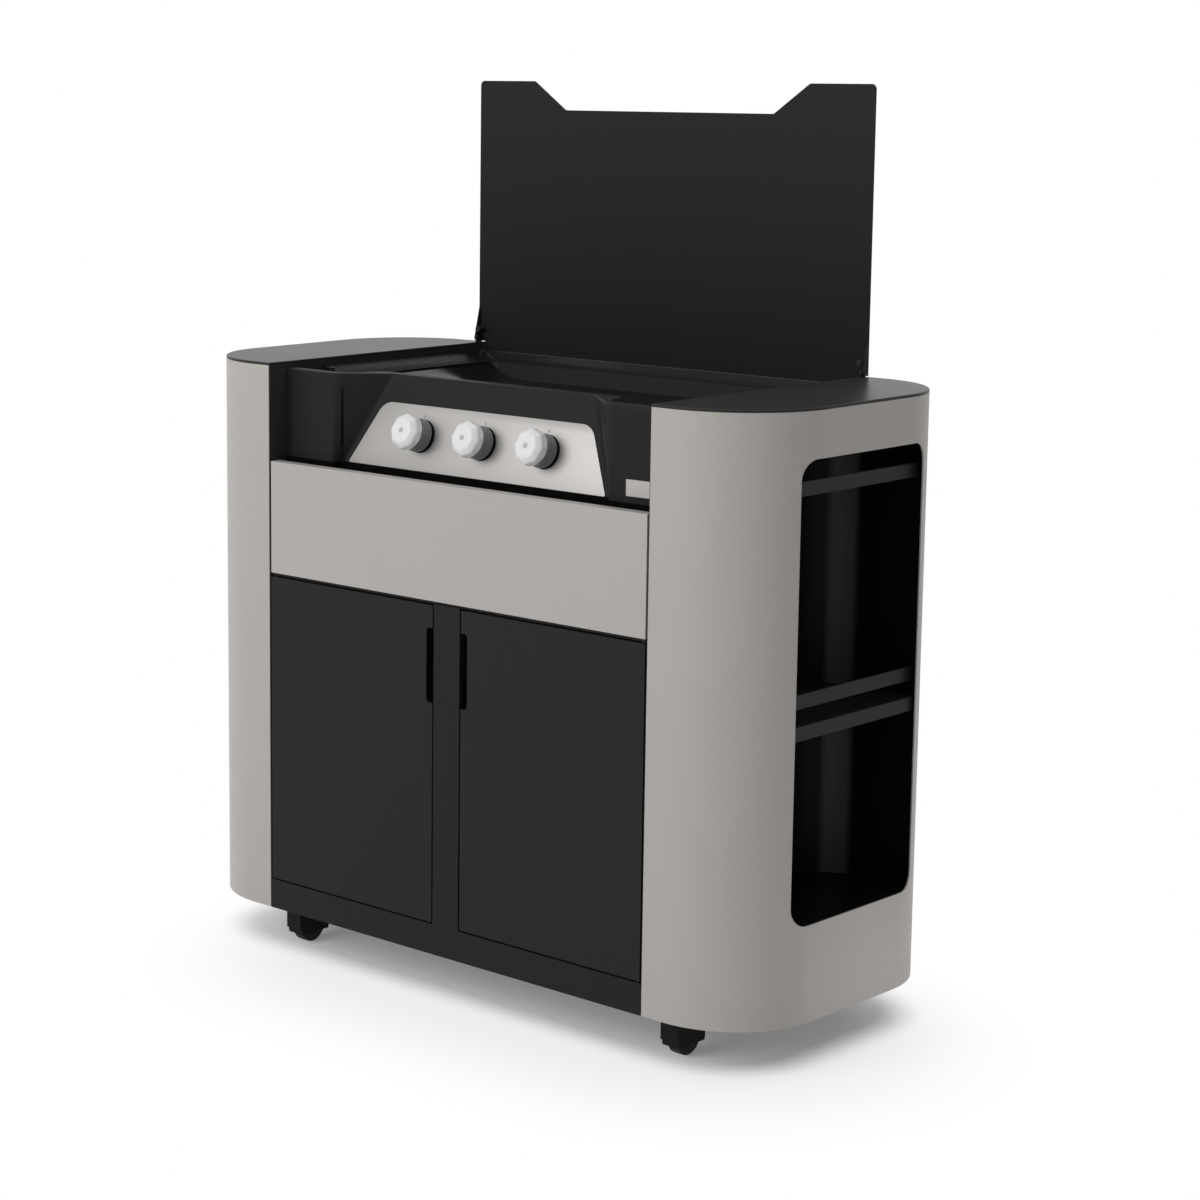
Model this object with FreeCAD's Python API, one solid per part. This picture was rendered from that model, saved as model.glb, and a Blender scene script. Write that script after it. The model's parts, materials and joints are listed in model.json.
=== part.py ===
# Outdoor gas griddle station: a cabinet on casters with two round-ended side pods,
# open shelving bays in their ends, a drop-in griddle with a sculpted front, three
# push-and-turn knobs, a folding lid, a drawer and two doors.
# Millimetres. X runs along the station, the front faces -Y, Z is up from the floor.
import FreeCAD
import Part

import math
import os

from FreeCAD import Vector

# Overall station
STATION_LENGTH = 1088.0
STATION_DEPTH = 478.0
COUNTER_HEIGHT = 910.0
POD_LENGTH = 179.0
END_RADIUS = 142.0
BASE_HEIGHT = 73.0

# Sheet metal
SHELL_SHEET = 2.0
INNER_SHEET = 1.5
TOP_THICKNESS = 4.0
TOP_EDGE_CHAMFER = 1.2
BASE_THICKNESS = 2.0
RETURN_FLANGE = 14.0
FIT_GAP = 0.3

# Open bay in each pod's end
BAY_OPENING_MARGIN = 99.0
BAY_OPENING_BOTTOM = 210.0
BAY_OPENING_DROP = 68.0
BAY_OPENING_RADIUS = 28.0
BAY_LIP = 4.0
BAY_SIDE_SPACE = 8.0
BAY_BACK_SPACE = 7.5
BAY_CORNER_RADIUS = 70.0
RAIL_HEIGHT = 20.0
RAIL_THICKNESS = 3.0
RAIL_SETBACK = 18.5
UPPER_RAIL_DROP = 51.0
SHELF_TOP = 483.5
GUARD_RAIL_RISE = 21.5
SHELF_SETBACK = 12.5

# Front of the cabinet
REVEAL = 2.5
BOTTOM_RAIL_TOP = 118.0
BOTTOM_RAIL_DEPTH = 34.0
STILE_WIDTH = 50.0
STILE_RETURN = 17.0
DRAWER_FRONT_HEIGHT = 169.0
DRAWER_FRONT_GAP = 5.0
DIVIDER_THICKNESS = 2.0
DIVIDER_SETBACK = 3.0
DIVIDER_GAP = 1.5

# Doors
DOOR_THICKNESS = 20.0
DOOR_SHEET = 1.5
DOOR_PIVOT_INSET = 6.0
DOOR_PIN_RADIUS = 3.0
PIN_CLEARANCE = 0.05
NOTCH_WIDTH = 12.0
NOTCH_DROP = 33.0
NOTCH_HEIGHT = 109.0
NOTCH_RADIUS = 6.0
PULL_REACH = 16.0

# Drawer
DRAWER_PAN_DEPTH = 18.0
DRAWER_BOX_HEIGHT = 133.0
DRAWER_REAR_GAP = 15.7
DRAWER_BOX_LIFT = 8.0
DRAWER_SIDE_SPACE = 13.5
RUNNER_HEIGHT = 33.0
RUNNER_LIP = 10.0
RUNNER_REAR_GAP = 4.0
RUNNER_LIFT = 78.0
RUNNER_SETBACK = 26.0
SLIDE_CLEARANCE = 0.7

# Sculpted griddle front
FRONT_HEIGHT = 132.0
FRONT_SETDOWN = 10.0
FRONT_SHEET = 2.2
CREST_RECESS = 33.0
CREST_HALF = 272.0
CONSOLE_RECESS_BOTTOM = 51.0
CONSOLE_RECESS_TOP = 91.5
CONSOLE_HALF_BOTTOM = 252.0
CONSOLE_HALF_TOP = 208.0
WING_SWEEP = 1.5
RIM_BEND = 3.0
RIM_LIP = 13.0
RIM_THICKNESS = 2.0

# Control plate, name plate and knobs
PLATE_HALF_BOTTOM = 247.0
PLATE_HALF_TOP = 193.5
PLATE_HEIGHT = 96.0
PLATE_SHEET = 1.5
PLATE_TOP_RADIUS = 13.0
PLATE_BOTTOM_RADIUS = 2.0
NAME_PLATE_WIDTH = 44.0
NAME_PLATE_HEIGHT = 23.0
NAME_PLATE_INSET = 66.2
NAME_PLATE_RISE = 9.0
NAME_PLATE_SHEET = 1.2
KNOB_SPACING = 119.0
KNOB_ROW_OFFSET = 7.5
KNOB_ROW_RISE = 51.0
KNOB_RADIUS = 26.5
KNOB_CAP_LENGTH = 17.0
KNOB_BAND_LENGTH = 20.5
KNOB_TRAVEL = 3.0
KNOB_RUNNING_GAP = 0.6
KNOB_FLATS = 8
KNOB_FLAT_SHARE = 0.97
KNOB_SKIRT_STEP = 2.0
KNOB_NOSE_LENGTH = 6.0
KNOB_NOSE_STEP = 5.0
BEZEL_RADIUS = 26.0
BEZEL_DRAFT = 1.2
BEZEL_HOLE = 14.0
BEZEL_HEIGHT = 5.0
STEM_RADIUS = 3.0
STEM_HOLE = 5.0
WASHER_RADIUS = 12.0
WASHER_THICKNESS = 2.0
VALVE_RADIUS = 10.0
VALVE_LEG_RADIUS = 6.0
VALVE_LEG_SETBACK = 13.0
VALVE_LENGTH = 22.0
VALVE_BORE_DEPTH = 16.0

# Griddle tray, burners and gas
SURROUND_SETDOWN = 13.0
SURROUND_DROP = 16.0
SURROUND_SLOPE = 26.0
LEDGE_WIDTH = 10.0
LEDGE_SETBACK = 112.0
LEDGE_REAR = 22.0
COOKTOP_PLATE = 6.0
COOKTOP_DEPTH = 22.0
COOKTOP_FLARE = 10.0
COOKTOP_RIM = 3.0
COOKTOP_FLANGE = 7.0
COOKTOP_RADIUS = 18.0
GREASE_SLOT_LENGTH = 90.0
GREASE_SLOT_WIDTH = 14.0
GREASE_SLOT_RADIUS = 6.0
GREASE_SLOT_MARGIN = 12.0
BURNER_BOX_SIDE = 26.0
BURNER_BOX_LEAD = 12.0
BURNER_BOX_REAR = 14.0
BURNER_RADIUS = 11.0
BURNER_CROSS_RADIUS = 9.0
BURNER_LEG_SPACING = 70.0
BURNER_RISE = 40.0
BURNER_FRONT_GAP = 50.0
BURNER_REAR_GAP = 40.0
VENTURI_RADIUS = 11.0
VENTURI_REACH = 3.0
ELECTRODE_RADIUS = 3.0
ELECTRODE_LENGTH = 30.0
ELECTRODE_SETBACK = 80.0
ELECTRODE_TIP = 15.0
ELECTRODE_TIP_WIDTH = 2.0
MANIFOLD_SIDE = 16.0
MANIFOLD_LIFT = 3.0
MANIFOLD_END = 20.0
ELBOW_SIDE = 16.0
SUPPLY_RADIUS = 6.0
INLET_RADIUS = 7.94
INLET_LENGTH = 16.0
INLET_DROP = 24.0
INLET_REAR_GAP = 24.0
NUT_RADIUS = 11.0
NUT_HEIGHT = 8.0
CHUTE_WALL = 1.5
CHUTE_MARGIN = 6.0
CHUTE_OUTLET = 34.0
CHUTE_CUP_GAP = 6.0

# Grease cup behind the drawer, drawn out through the back
CUP_WIDTH = 120.0
CUP_DEPTH = 112.0
CUP_HEIGHT = 52.0
CUP_HANG = 82.5
CUP_WALL = 2.0
CUP_DRAFT = 5.0
CUP_CORNER = 8.0
CUP_RIM = 6.0
CUP_RAIL_HEIGHT = 12.0
CUP_WINDOW_MARGIN = 5.0

# Back panel
BACK_SHEET = 2.0
VENT_LENGTH = 70.0
VENT_HEIGHT = 9.0
VENT_PITCH = 22.0
VENT_ROWS = 5
VENT_COLUMNS = 3
VENT_COLUMN_PITCH = 190.0
VENT_BOTTOM = 240.0
HOSE_HOLE_RADIUS = 28.0
HOSE_HOLE_HEIGHT = 170.0

# Lid
LID_SHEET = 2.5
LID_OVERLAP = 10.0
LID_HEIGHT = 413.0
LID_BACK_MARGIN = 0.5
LID_CORNER = 8.0
LID_COUNTER_GAP = 1.0
LID_NOTCH_DEPTH = 44.0
LID_NOTCH_HALF_TOP = 262.0
LID_NOTCH_HALF_BOTTOM = 198.5
LID_NOTCH_RADIUS = 9.0
LID_PIVOT_RISE = 6.5
LID_PIVOT_FORWARD = 6.0
LID_EAR_RADIUS = 5.6
LID_EAR_HEIGHT = 50.0
LID_EAR_SHEET = 2.5
LID_PIN_RADIUS = 2.5
LID_TAIL = 21.0
LID_TAIL_MARGIN = 1.0
LID_BRACKET_SHEET = 3.0
LID_BRACKET_DEPTH = 30.0
LID_FOOT_REACH = 21.0
BUMPER_RADIUS = 4.5
BUMPER_RISE = 14.0

# Casters
CASTER_END_INSET = 173.0
CASTER_SIDE_INSET = 73.0
CASTER_PLATE = 62.0
CASTER_PLATE_THICKNESS = 3.0
CASTER_PLATE_CLIP = 8.0
WHEEL_RADIUS = 25.0
WHEEL_WIDTH = 21.0
WHEEL_TRAIL = 14.0
TREAD_CHAMFER = 2.0
HOOD_CLEARANCE = 1.6
HOOD_WALL = 2.6
HOOD_SKIRT_RISE = 16.25
HOOD_NOSE = 18.9
HOOD_TAIL = 17.5
HEAD_RADIUS = 27.0
HEAD_HEIGHT = 9.0
KINGPIN_RADIUS = 5.0
KINGPIN_LENGTH = 11.0
AXLE_RADIUS = 3.0

# Places worked out from the sizes above
half_length = STATION_LENGTH / 2
half_depth = STATION_DEPTH / 2
half_opening = half_length - POD_LENGTH
front_y = -half_depth
top_underside = COUNTER_HEIGHT - TOP_THICKNESS
wall_x = half_opening - INNER_SHEET
inside_x = wall_x - FIT_GAP
bay_opening_half = half_depth - BAY_OPENING_MARGIN
bay_opening_top = COUNTER_HEIGHT - BAY_OPENING_DROP
bay_inside_half = bay_opening_half + BAY_SIDE_SPACE
bay_floor_top = BAY_OPENING_BOTTOM - BAY_LIP
bay_ceiling = bay_opening_top + BAY_LIP
bay_back_x = half_opening + INNER_SHEET + BAY_BACK_SPACE
back_panel_y = half_depth - LID_BACK_MARGIN
front_top = COUNTER_HEIGHT - FRONT_SETDOWN
front_bottom = front_top - FRONT_HEIGHT
drawer_top = front_bottom - DRAWER_FRONT_GAP
drawer_bottom = drawer_top - DRAWER_FRONT_HEIGHT
divider_top = drawer_bottom - DIVIDER_GAP
divider_bottom = divider_top - DIVIDER_THICKNESS
door_bottom = BOTTOM_RAIL_TOP + REVEAL
door_top = divider_bottom - REVEAL
door_outer_x = wall_x - REVEAL
door_inner_x = STILE_WIDTH / 2 + REVEAL
door_back_y = front_y + DOOR_THICKNESS
notch_top = door_top - NOTCH_DROP
notch_bottom = notch_top - NOTCH_HEIGHT
door_pivot = Vector(door_outer_x - DOOR_PIVOT_INSET, front_y + DOOR_PIVOT_INSET, 0)
drawer_pan_back = front_y + DRAWER_PAN_DEPTH
drawer_side_x = wall_x - DRAWER_SIDE_SPACE
drawer_floor = drawer_bottom + DRAWER_BOX_LIFT
cup_back = back_panel_y
cup_rail_front = cup_back - CUP_DEPTH - FIT_GAP - INNER_SHEET
drawer_back = cup_rail_front - DRAWER_REAR_GAP
runner_front = front_y + RUNNER_SETBACK
runner_length = drawer_back - RUNNER_REAR_GAP - runner_front
console_angle = math.atan2(CONSOLE_RECESS_TOP - CONSOLE_RECESS_BOTTOM, FRONT_HEIGHT)
console_out = Vector(0, -math.cos(console_angle), math.sin(console_angle))
console_up = Vector(0, math.sin(console_angle), math.cos(console_angle))
console_foot = Vector(0, front_y + CONSOLE_RECESS_BOTTOM, front_bottom)
surround_top = COUNTER_HEIGHT - SURROUND_SETDOWN
ledge_top = surround_top - SURROUND_DROP
ledge_front = front_y + LEDGE_SETBACK
ledge_x = inside_x - SURROUND_SLOPE
cooktop_x = ledge_x - LEDGE_WIDTH
surround_back = back_panel_y - LID_SHEET - FIT_GAP
ledge_back = surround_back - LEDGE_REAR
burner_box_x = inside_x - BURNER_BOX_SIDE
burner_box_front = ledge_front - BURNER_BOX_LEAD
burner_box_back = surround_back - BURNER_BOX_REAR
deck_bottom = front_bottom - INNER_SHEET
supply_x = (burner_box_x + inside_x) / 2
inlet_y = burner_box_back - INLET_REAR_GAP
cup_top = deck_bottom - CUP_HANG
cup_bottom = cup_top - CUP_HEIGHT
lid_half_width = half_opening + LID_OVERLAP
lid_top = COUNTER_HEIGHT + LID_HEIGHT
lid_front_y = back_panel_y - LID_SHEET
lid_pivot = Vector(0, lid_front_y - LID_PIVOT_FORWARD, COUNTER_HEIGHT + LID_PIVOT_RISE)
lid_bottom = COUNTER_HEIGHT + LID_COUNTER_GAP
lid_closed_gap = LID_PIVOT_RISE + LID_PIVOT_FORWARD
grease_slot_y = ledge_back - COOKTOP_FLARE - GREASE_SLOT_MARGIN - GREASE_SLOT_WIDTH / 2
chute_half_x = GREASE_SLOT_LENGTH / 2 + CHUTE_MARGIN
chute_half_y = GREASE_SLOT_WIDTH / 2 + CHUTE_MARGIN
burner_start = burner_box_front + BURNER_FRONT_GAP
burner_end = grease_slot_y - chute_half_y - BURNER_REAR_GAP


def box(x0, x1, y0, y1, z0, z1):
    """Block between two opposite corners."""
    return Part.makeBox(x1 - x0, y1 - y0, z1 - z0, Vector(x0, y0, z0))


def tube(radius, start, direction, length):
    """Round bar from a point along a direction."""
    return Part.makeCylinder(radius, length, start, direction)


def mirrored(shape):
    """The same piece on the other side of the station."""
    return shape.mirror(Vector(0, 0, 0), Vector(1, 0, 0))


def level(z):
    """Places plan coordinates at height z."""
    return lambda u, v: Vector(u, v, z)


def upright(y):
    """Places width and height on a plane that faces the front."""
    return lambda u, v: Vector(u, y, v)


def sideways(x):
    """Places depth and height on a plane that faces the end."""
    return lambda u, v: Vector(x, u, v)


def rounded_wire(corners, place):
    """Closed outline through (u, v, radius) corners."""
    stops = []
    for index, (u, v, radius) in enumerate(corners):
        here = Vector(u, v, 0)
        if radius == 0:
            stops.append((here, None, here))
            continue
        before = Vector(*corners[index - 1][:2], 0)
        after = Vector(*corners[(index + 1) % len(corners)][:2], 0)
        to_before = (before - here).normalize()
        to_after = (after - here).normalize()
        half_turn = to_before.getAngle(to_after) / 2
        reach = radius / math.tan(half_turn)
        bisector = (to_before + to_after).normalize()
        middle = here + bisector * (radius / math.sin(half_turn) - radius)
        stops.append((here + to_before * reach, middle, here + to_after * reach))
    edges = []
    for index, (start, middle, end) in enumerate(stops):
        last = stops[index - 1][2]
        if last.distanceToPoint(start) > 1e-6:
            edges.append(Part.LineSegment(place(last.x, last.y), place(start.x, start.y)).toShape())
        if middle is not None:
            points = [place(point.x, point.y) for point in (start, middle, end)]
            edges.append(Part.Arc(*points).toShape())
    return Part.Wire(edges)


def prism(corners, place, along):
    """Solid of a rounded outline moved along a vector."""
    return Part.Face(rounded_wire(corners, place)).extrude(along)


def rectangle(u0, u1, v0, v1, radius=0.0):
    """Four corners with one radius."""
    return [(u0, v0, radius), (u1, v0, radius), (u1, v1, radius), (u0, v1, radius)]


def clipped(u0, u1, v0, v1, clip):
    """Outline of a rectangle with its corners cut off."""
    return [
        (u0 + clip, v0, 0),
        (u1 - clip, v0, 0),
        (u1, v0 + clip, 0),
        (u1, v1 - clip, 0),
        (u1 - clip, v1, 0),
        (u0 + clip, v1, 0),
        (u0, v1 - clip, 0),
        (u0, v0 + clip, 0),
    ]


def hexagon(radius, u=0.0, v=0.0):
    """Outline of a hexagon round a point."""
    turns = [index * math.pi / 3 for index in range(6)]
    return [(u + radius * math.cos(turn), v + radius * math.sin(turn), 0) for turn in turns]


def closed_solid(faces):
    """Solid inside faces that meet edge to edge."""
    shell = Part.makeShell(faces)
    shell.sewShape()
    solid = Part.makeSolid(shell)
    if solid.Volume < 0:
        solid.reverse()
    return solid


def faceted(rings):
    """Solid of flat faces through stacked rings of corners, each ring as many."""
    faces = [Part.Face(Part.makePolygon(ring + ring[:1])) for ring in (rings[0], rings[-1])]
    for lower, upper in zip(rings, rings[1:]):
        for index in range(len(lower)):
            after = (index + 1) % len(lower)
            corners = [lower[index], lower[after], upper[after], upper[index], lower[index]]
            faces.append(Part.Face(Part.makePolygon(corners)))
    return closed_solid(faces)


def pod_corners(inner_x, inset):
    """Plan of one pod: square at the cabinet, round at the station's end."""
    outer_x = half_length - inset
    side_y = half_depth - inset
    radius = END_RADIUS - inset
    return [
        (inner_x, -side_y, 0),
        (outer_x, -side_y, radius),
        (outer_x, side_y, radius),
        (inner_x, side_y, 0),
    ]


def pod_solid(inner_x, inset, z0, z1):
    """Pod plan between two heights."""
    return prism(pod_corners(inner_x, inset), level(z0), Vector(0, 0, z1 - z0))


def side_shell():
    """Painted outer sheet of the right pod with its side opening."""
    outer = pod_solid(half_opening, 0, BASE_HEIGHT, top_underside)
    hollow = pod_solid(half_opening + SHELL_SHEET, SHELL_SHEET, BASE_HEIGHT, top_underside)
    return_y = half_depth - RETURN_FLANGE
    way = box(half_opening, half_opening + SHELL_SHEET, -return_y, return_y, BASE_HEIGHT, top_underside)
    inner_y = half_depth - SHELL_SHEET
    return_bottom = BASE_HEIGHT + BASE_THICKNESS + FIT_GAP
    relief = box(half_opening, half_opening + SHELL_SHEET, -inner_y, inner_y, BASE_HEIGHT, return_bottom)
    half = bay_opening_half
    opening = rectangle(-half, half, BAY_OPENING_BOTTOM, bay_opening_top, BAY_OPENING_RADIUS)
    window = prism(opening, sideways(half_length - END_RADIUS), Vector(END_RADIUS + 1, 0, 0))
    return outer.cut(hollow).cut(way).cut(relief).cut(window)


def top_panel():
    """Counter panel of the right pod, with a softened edge and the slot for the lid bracket."""
    panel = pod_solid(wall_x, 0, top_underside, COUNTER_HEIGHT)
    rim = [edge for edge in panel.Edges if all(abs(v.Z - COUNTER_HEIGHT) < 1e-6 for v in edge.Vertexes)]
    return panel.makeChamfer(TOP_EDGE_CHAMFER, rim).cut(bracket_post(FIT_GAP))


def inner_wall():
    """Black wall between the right pod and the cabinet."""
    base_top = BASE_HEIGHT + BASE_THICKNESS
    return box(wall_x, half_opening, -half_depth + 0.5, half_depth - 0.5, base_top, top_underside)


def liner_corners(inset):
    """Plan of the bay inside its liner."""
    half = bay_inside_half - inset
    radius = BAY_CORNER_RADIUS - inset
    back = bay_back_x + inset
    return [(back, -half, radius), (half_length, -half, 0), (half_length, half, 0), (back, half, radius)]


def bay_liner():
    """Black U-shaped lining of the right bay."""
    height = Vector(0, 0, bay_ceiling - bay_floor_top)
    outer = prism(liner_corners(-INNER_SHEET), level(bay_floor_top), height)
    inner = prism(liner_corners(0), level(bay_floor_top), height)
    return outer.cut(inner).common(pod_solid(half_opening, SHELL_SHEET + FIT_GAP, bay_floor_top, bay_ceiling))


def bay_plates():
    """Floor and ceiling of the right bay, each cut to the inside of the shell."""
    inner_x = half_opening + SHELL_SHEET + FIT_GAP
    inset = SHELL_SHEET + FIT_GAP
    floor = pod_solid(inner_x, inset, bay_floor_top - INNER_SHEET, bay_floor_top)
    ceiling = pod_solid(inner_x, inset, bay_ceiling, bay_ceiling + INNER_SHEET)
    return Part.makeCompound([floor, ceiling])


def shelf():
    """Fixed shelf of the right bay with its front flange."""
    front_x = half_length - SHELF_SETBACK
    half = bay_inside_half - FIT_GAP
    radius = BAY_CORNER_RADIUS - FIT_GAP
    back = bay_back_x + FIT_GAP
    plan = [(back, -half, radius), (front_x, -half, 0), (front_x, half, 0), (back, half, radius)]
    plate = prism(plan, level(SHELF_TOP - INNER_SHEET), Vector(0, 0, INNER_SHEET))
    flange = box(front_x - INNER_SHEET, front_x, -half, half, SHELF_TOP - RAIL_HEIGHT, SHELF_TOP)
    return plate.fuse(flange).removeSplitter()


def bay_rails():
    """Guard rail above the shelf and the upper rail, both flat bars."""
    front_x = half_length - RAIL_SETBACK
    half = bay_inside_half - FIT_GAP
    bars = []
    for bottom in (bay_opening_top - UPPER_RAIL_DROP, SHELF_TOP + GUARD_RAIL_RISE):
        bars.append(box(front_x - RAIL_THICKNESS, front_x, -half, half, bottom, bottom + RAIL_HEIGHT))
    return Part.makeCompound(bars)


def base_plate():
    """Floor plate of the whole station, inside the shells."""
    inset = SHELL_SHEET + FIT_GAP
    radius = END_RADIUS - inset
    plan = rectangle(-half_length + inset, half_length - inset, front_y + inset, half_depth - inset, radius)
    return prism(plan, level(BASE_HEIGHT), Vector(0, 0, BASE_THICKNESS))


def front_frame():
    """Bottom rail and centre stile, welded, with sockets for the doors' lower pins."""
    face_back = front_y + SHELL_SHEET
    rail_back = front_y + BOTTOM_RAIL_DEPTH
    rail = box(-inside_x, inside_x, front_y, face_back, BASE_HEIGHT, BOTTOM_RAIL_TOP)
    flange = box(-inside_x, inside_x, front_y, rail_back, BOTTOM_RAIL_TOP - SHELL_SHEET, BOTTOM_RAIL_TOP)
    half = STILE_WIDTH / 2
    stile = box(-half, half, front_y, front_y + STILE_RETURN, BOTTOM_RAIL_TOP - SHELL_SHEET, divider_bottom)
    core = box(
        -half + SHELL_SHEET,
        half - SHELL_SHEET,
        face_back,
        front_y + STILE_RETURN,
        BOTTOM_RAIL_TOP,
        divider_bottom,
    )
    frame = rail.fuse([flange, stile.cut(core)]).removeSplitter()
    for side in (-1, 1):
        start = Vector(side * door_pivot.x, door_pivot.y, BASE_HEIGHT + BASE_THICKNESS)
        frame = frame.cut(tube(DOOR_PIN_RADIUS + PIN_CLEARANCE, start, Vector(0, 0, 1), BOTTOM_RAIL_TOP))
    return frame


def cabinet_floor():
    """Cabinet floor: a sheet with edges turned down."""
    front = front_y + BOTTOM_RAIL_DEPTH + FIT_GAP
    back = back_panel_y - BACK_SHEET - FIT_GAP
    skirt = BOTTOM_RAIL_TOP - BASE_HEIGHT - BASE_THICKNESS
    bottom = BOTTOM_RAIL_TOP - skirt
    pan = box(-inside_x, inside_x, front, back, bottom, BOTTOM_RAIL_TOP)
    core = box(
        -inside_x + INNER_SHEET,
        inside_x - INNER_SHEET,
        front + INNER_SHEET,
        back - INNER_SHEET,
        bottom,
        BOTTOM_RAIL_TOP - INNER_SHEET,
    )
    return pan.cut(core)


def cabinet_back():
    """Rear panel with vent slots, the hose hole and the grease cup's window."""
    bottom = BASE_HEIGHT + BASE_THICKNESS
    inner_y = back_panel_y - BACK_SHEET
    panel = box(-inside_x, inside_x, inner_y, back_panel_y, bottom, ledge_top - INNER_SHEET)
    for column in range(VENT_COLUMNS):
        left = (column - (VENT_COLUMNS - 1) / 2) * VENT_COLUMN_PITCH - VENT_LENGTH / 2
        for row in range(VENT_ROWS):
            low = VENT_BOTTOM + row * VENT_PITCH
            panel = panel.cut(box(left, left + VENT_LENGTH, inner_y, back_panel_y, low, low + VENT_HEIGHT))
    half = CUP_WIDTH / 2 + CUP_RIM + CUP_WINDOW_MARGIN
    window_bottom = cup_bottom - CUP_WINDOW_MARGIN
    window = box(-half, half, inner_y, back_panel_y, window_bottom, cup_top + CUP_RAIL_HEIGHT)
    hose = tube(HOSE_HOLE_RADIUS, Vector(wall_x / 2, inner_y, HOSE_HOLE_HEIGHT), Vector(0, 1, 0), BACK_SHEET)
    return panel.cut(window).cut(hose)


def drawer_divider():
    """Shelf between the doors and the drawer, with the doors' upper pin sockets."""
    plate = box(-inside_x, inside_x, front_y + DIVIDER_SETBACK, drawer_back, divider_bottom, divider_top)
    for side in (-1, 1):
        start = Vector(side * door_pivot.x, door_pivot.y, divider_bottom)
        plate = plate.cut(tube(DOOR_PIN_RADIUS + PIN_CLEARANCE, start, Vector(0, 0, 1), DIVIDER_THICKNESS))
    return plate


def griddle_deck():
    """Deck under the griddle: its turned-down edge follows the front; holes for chute and gas."""
    back = back_panel_y - BACK_SHEET - FIT_GAP
    plate = Part.Face(behind_front(front_bottom, -FIT_GAP, back)).extrude(Vector(0, 0, -INNER_SHEET))
    skirt_bottom = drawer_top - RETURN_FLANGE / 2
    edge = level_strip(front_bottom, -FIT_GAP, INNER_SHEET - FIT_GAP)
    skirt = edge.extrude(Vector(0, 0, skirt_bottom - front_bottom))
    deck = plate.fuse(skirt).removeSplitter()
    deck = deck.cut(chute_outer(FIT_GAP))
    start = Vector(supply_x, inlet_y, deck_bottom)
    return deck.cut(tube(SUPPLY_RADIUS + FIT_GAP, start, Vector(0, 0, 1), INNER_SHEET))


def front_plan(z, shift):
    """Half plan of the sculpted front at a height: console edge, curve points and wing end."""
    share = (z - front_bottom) / FRONT_HEIGHT
    console_y = front_y + CONSOLE_RECESS_BOTTOM + share * (CONSOLE_RECESS_TOP - CONSOLE_RECESS_BOTTOM)
    console_half = CONSOLE_HALF_BOTTOM + share * (CONSOLE_HALF_TOP - CONSOLE_HALF_BOTTOM)
    crest_y = front_y + CREST_RECESS
    run = CREST_HALF - console_half
    drop = console_y - crest_y
    radius = (run * run + drop * drop) / (4 * drop)
    turn = 2 * math.atan2(drop, run)
    sweep = math.radians(WING_SWEEP)

    def inner_arc(angle):
        return (console_half + radius * math.sin(angle), console_y - radius * (1 - math.cos(angle)))

    def outer_arc(angle):
        return (CREST_HALF + radius * math.sin(angle), crest_y + radius * (1 - math.cos(angle)))

    wing_start = outer_arc(sweep)
    wing_end = (inside_x, wing_start[1] + (inside_x - wing_start[0]) * math.tan(sweep))
    points = [
        (console_half, console_y),
        inner_arc(turn / 2),
        inner_arc(turn),
        outer_arc((sweep - turn) / 2),
        wing_start,
        wing_end,
    ]
    return [(x, y + shift) for x, y in points]


def front_edges(z, shift):
    """The sculpted front's plan at a height as seven edges from left to right."""
    points = front_plan(z, shift)
    left = [Vector(-x, y, z) for x, y in points]
    right = [Vector(x, y, z) for x, y in points]
    return [
        Part.LineSegment(left[5], left[4]).toShape(),
        Part.Arc(left[4], left[3], left[2]).toShape(),
        Part.Arc(left[2], left[1], left[0]).toShape(),
        Part.LineSegment(left[0], right[0]).toShape(),
        Part.Arc(right[0], right[1], right[2]).toShape(),
        Part.Arc(right[2], right[3], right[4]).toShape(),
        Part.LineSegment(right[4], right[5]).toShape(),
    ]


def strip(lower, upper):
    """Face between two edges of the front: flat between parallel lines, ruled between arcs."""
    if isinstance(lower.Curve, Part.Line):
        ends = [edge.valueAt(edge.FirstParameter) for edge in (lower, upper)]
        tips = [edge.valueAt(edge.LastParameter) for edge in (lower, upper)]
        return Part.Face(Part.makePolygon([ends[0], tips[0], tips[1], ends[1], ends[0]]))
    return Part.makeRuledSurface(lower, upper)


def level_strip(z, shift, other_shift):
    """Flat face between two plans of the front at one height."""
    links = []
    for side in (1, -1):
        tips = [Vector(side * x, y, z) for x, y in (front_plan(z, shift)[5], front_plan(z, other_shift)[5])]
        links.append(Part.LineSegment(*tips).toShape())
    near = front_edges(z, shift)
    far = front_edges(z, other_shift)[::-1]
    return Part.Face(Part.Wire(near + links[:1] + far + links[1:]))


def behind_front(z, shift, back):
    """Plan at a height from the sculpted front, moved back by a shift, to a straight rear edge."""
    end_y = front_plan(z, shift)[5][1]
    corners = [
        Vector(inside_x, end_y, z),
        Vector(inside_x, back, z),
        Vector(-inside_x, back, z),
        Vector(-inside_x, end_y, z),
    ]
    return Part.Wire(front_edges(z, shift) + Part.makePolygon(corners).Edges)


def on_console(u, v, s=0.0):
    """Point on the sloping console: u along X, v up the slope, s out of it."""
    return console_foot + Vector(u, 0, 0) + console_up * v + console_out * s


def knob_places():
    """Feet of the three knob axes on the console."""
    return [on_console(KNOB_ROW_OFFSET + step * KNOB_SPACING, KNOB_ROW_RISE) for step in (-1, 0, 1)]


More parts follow.
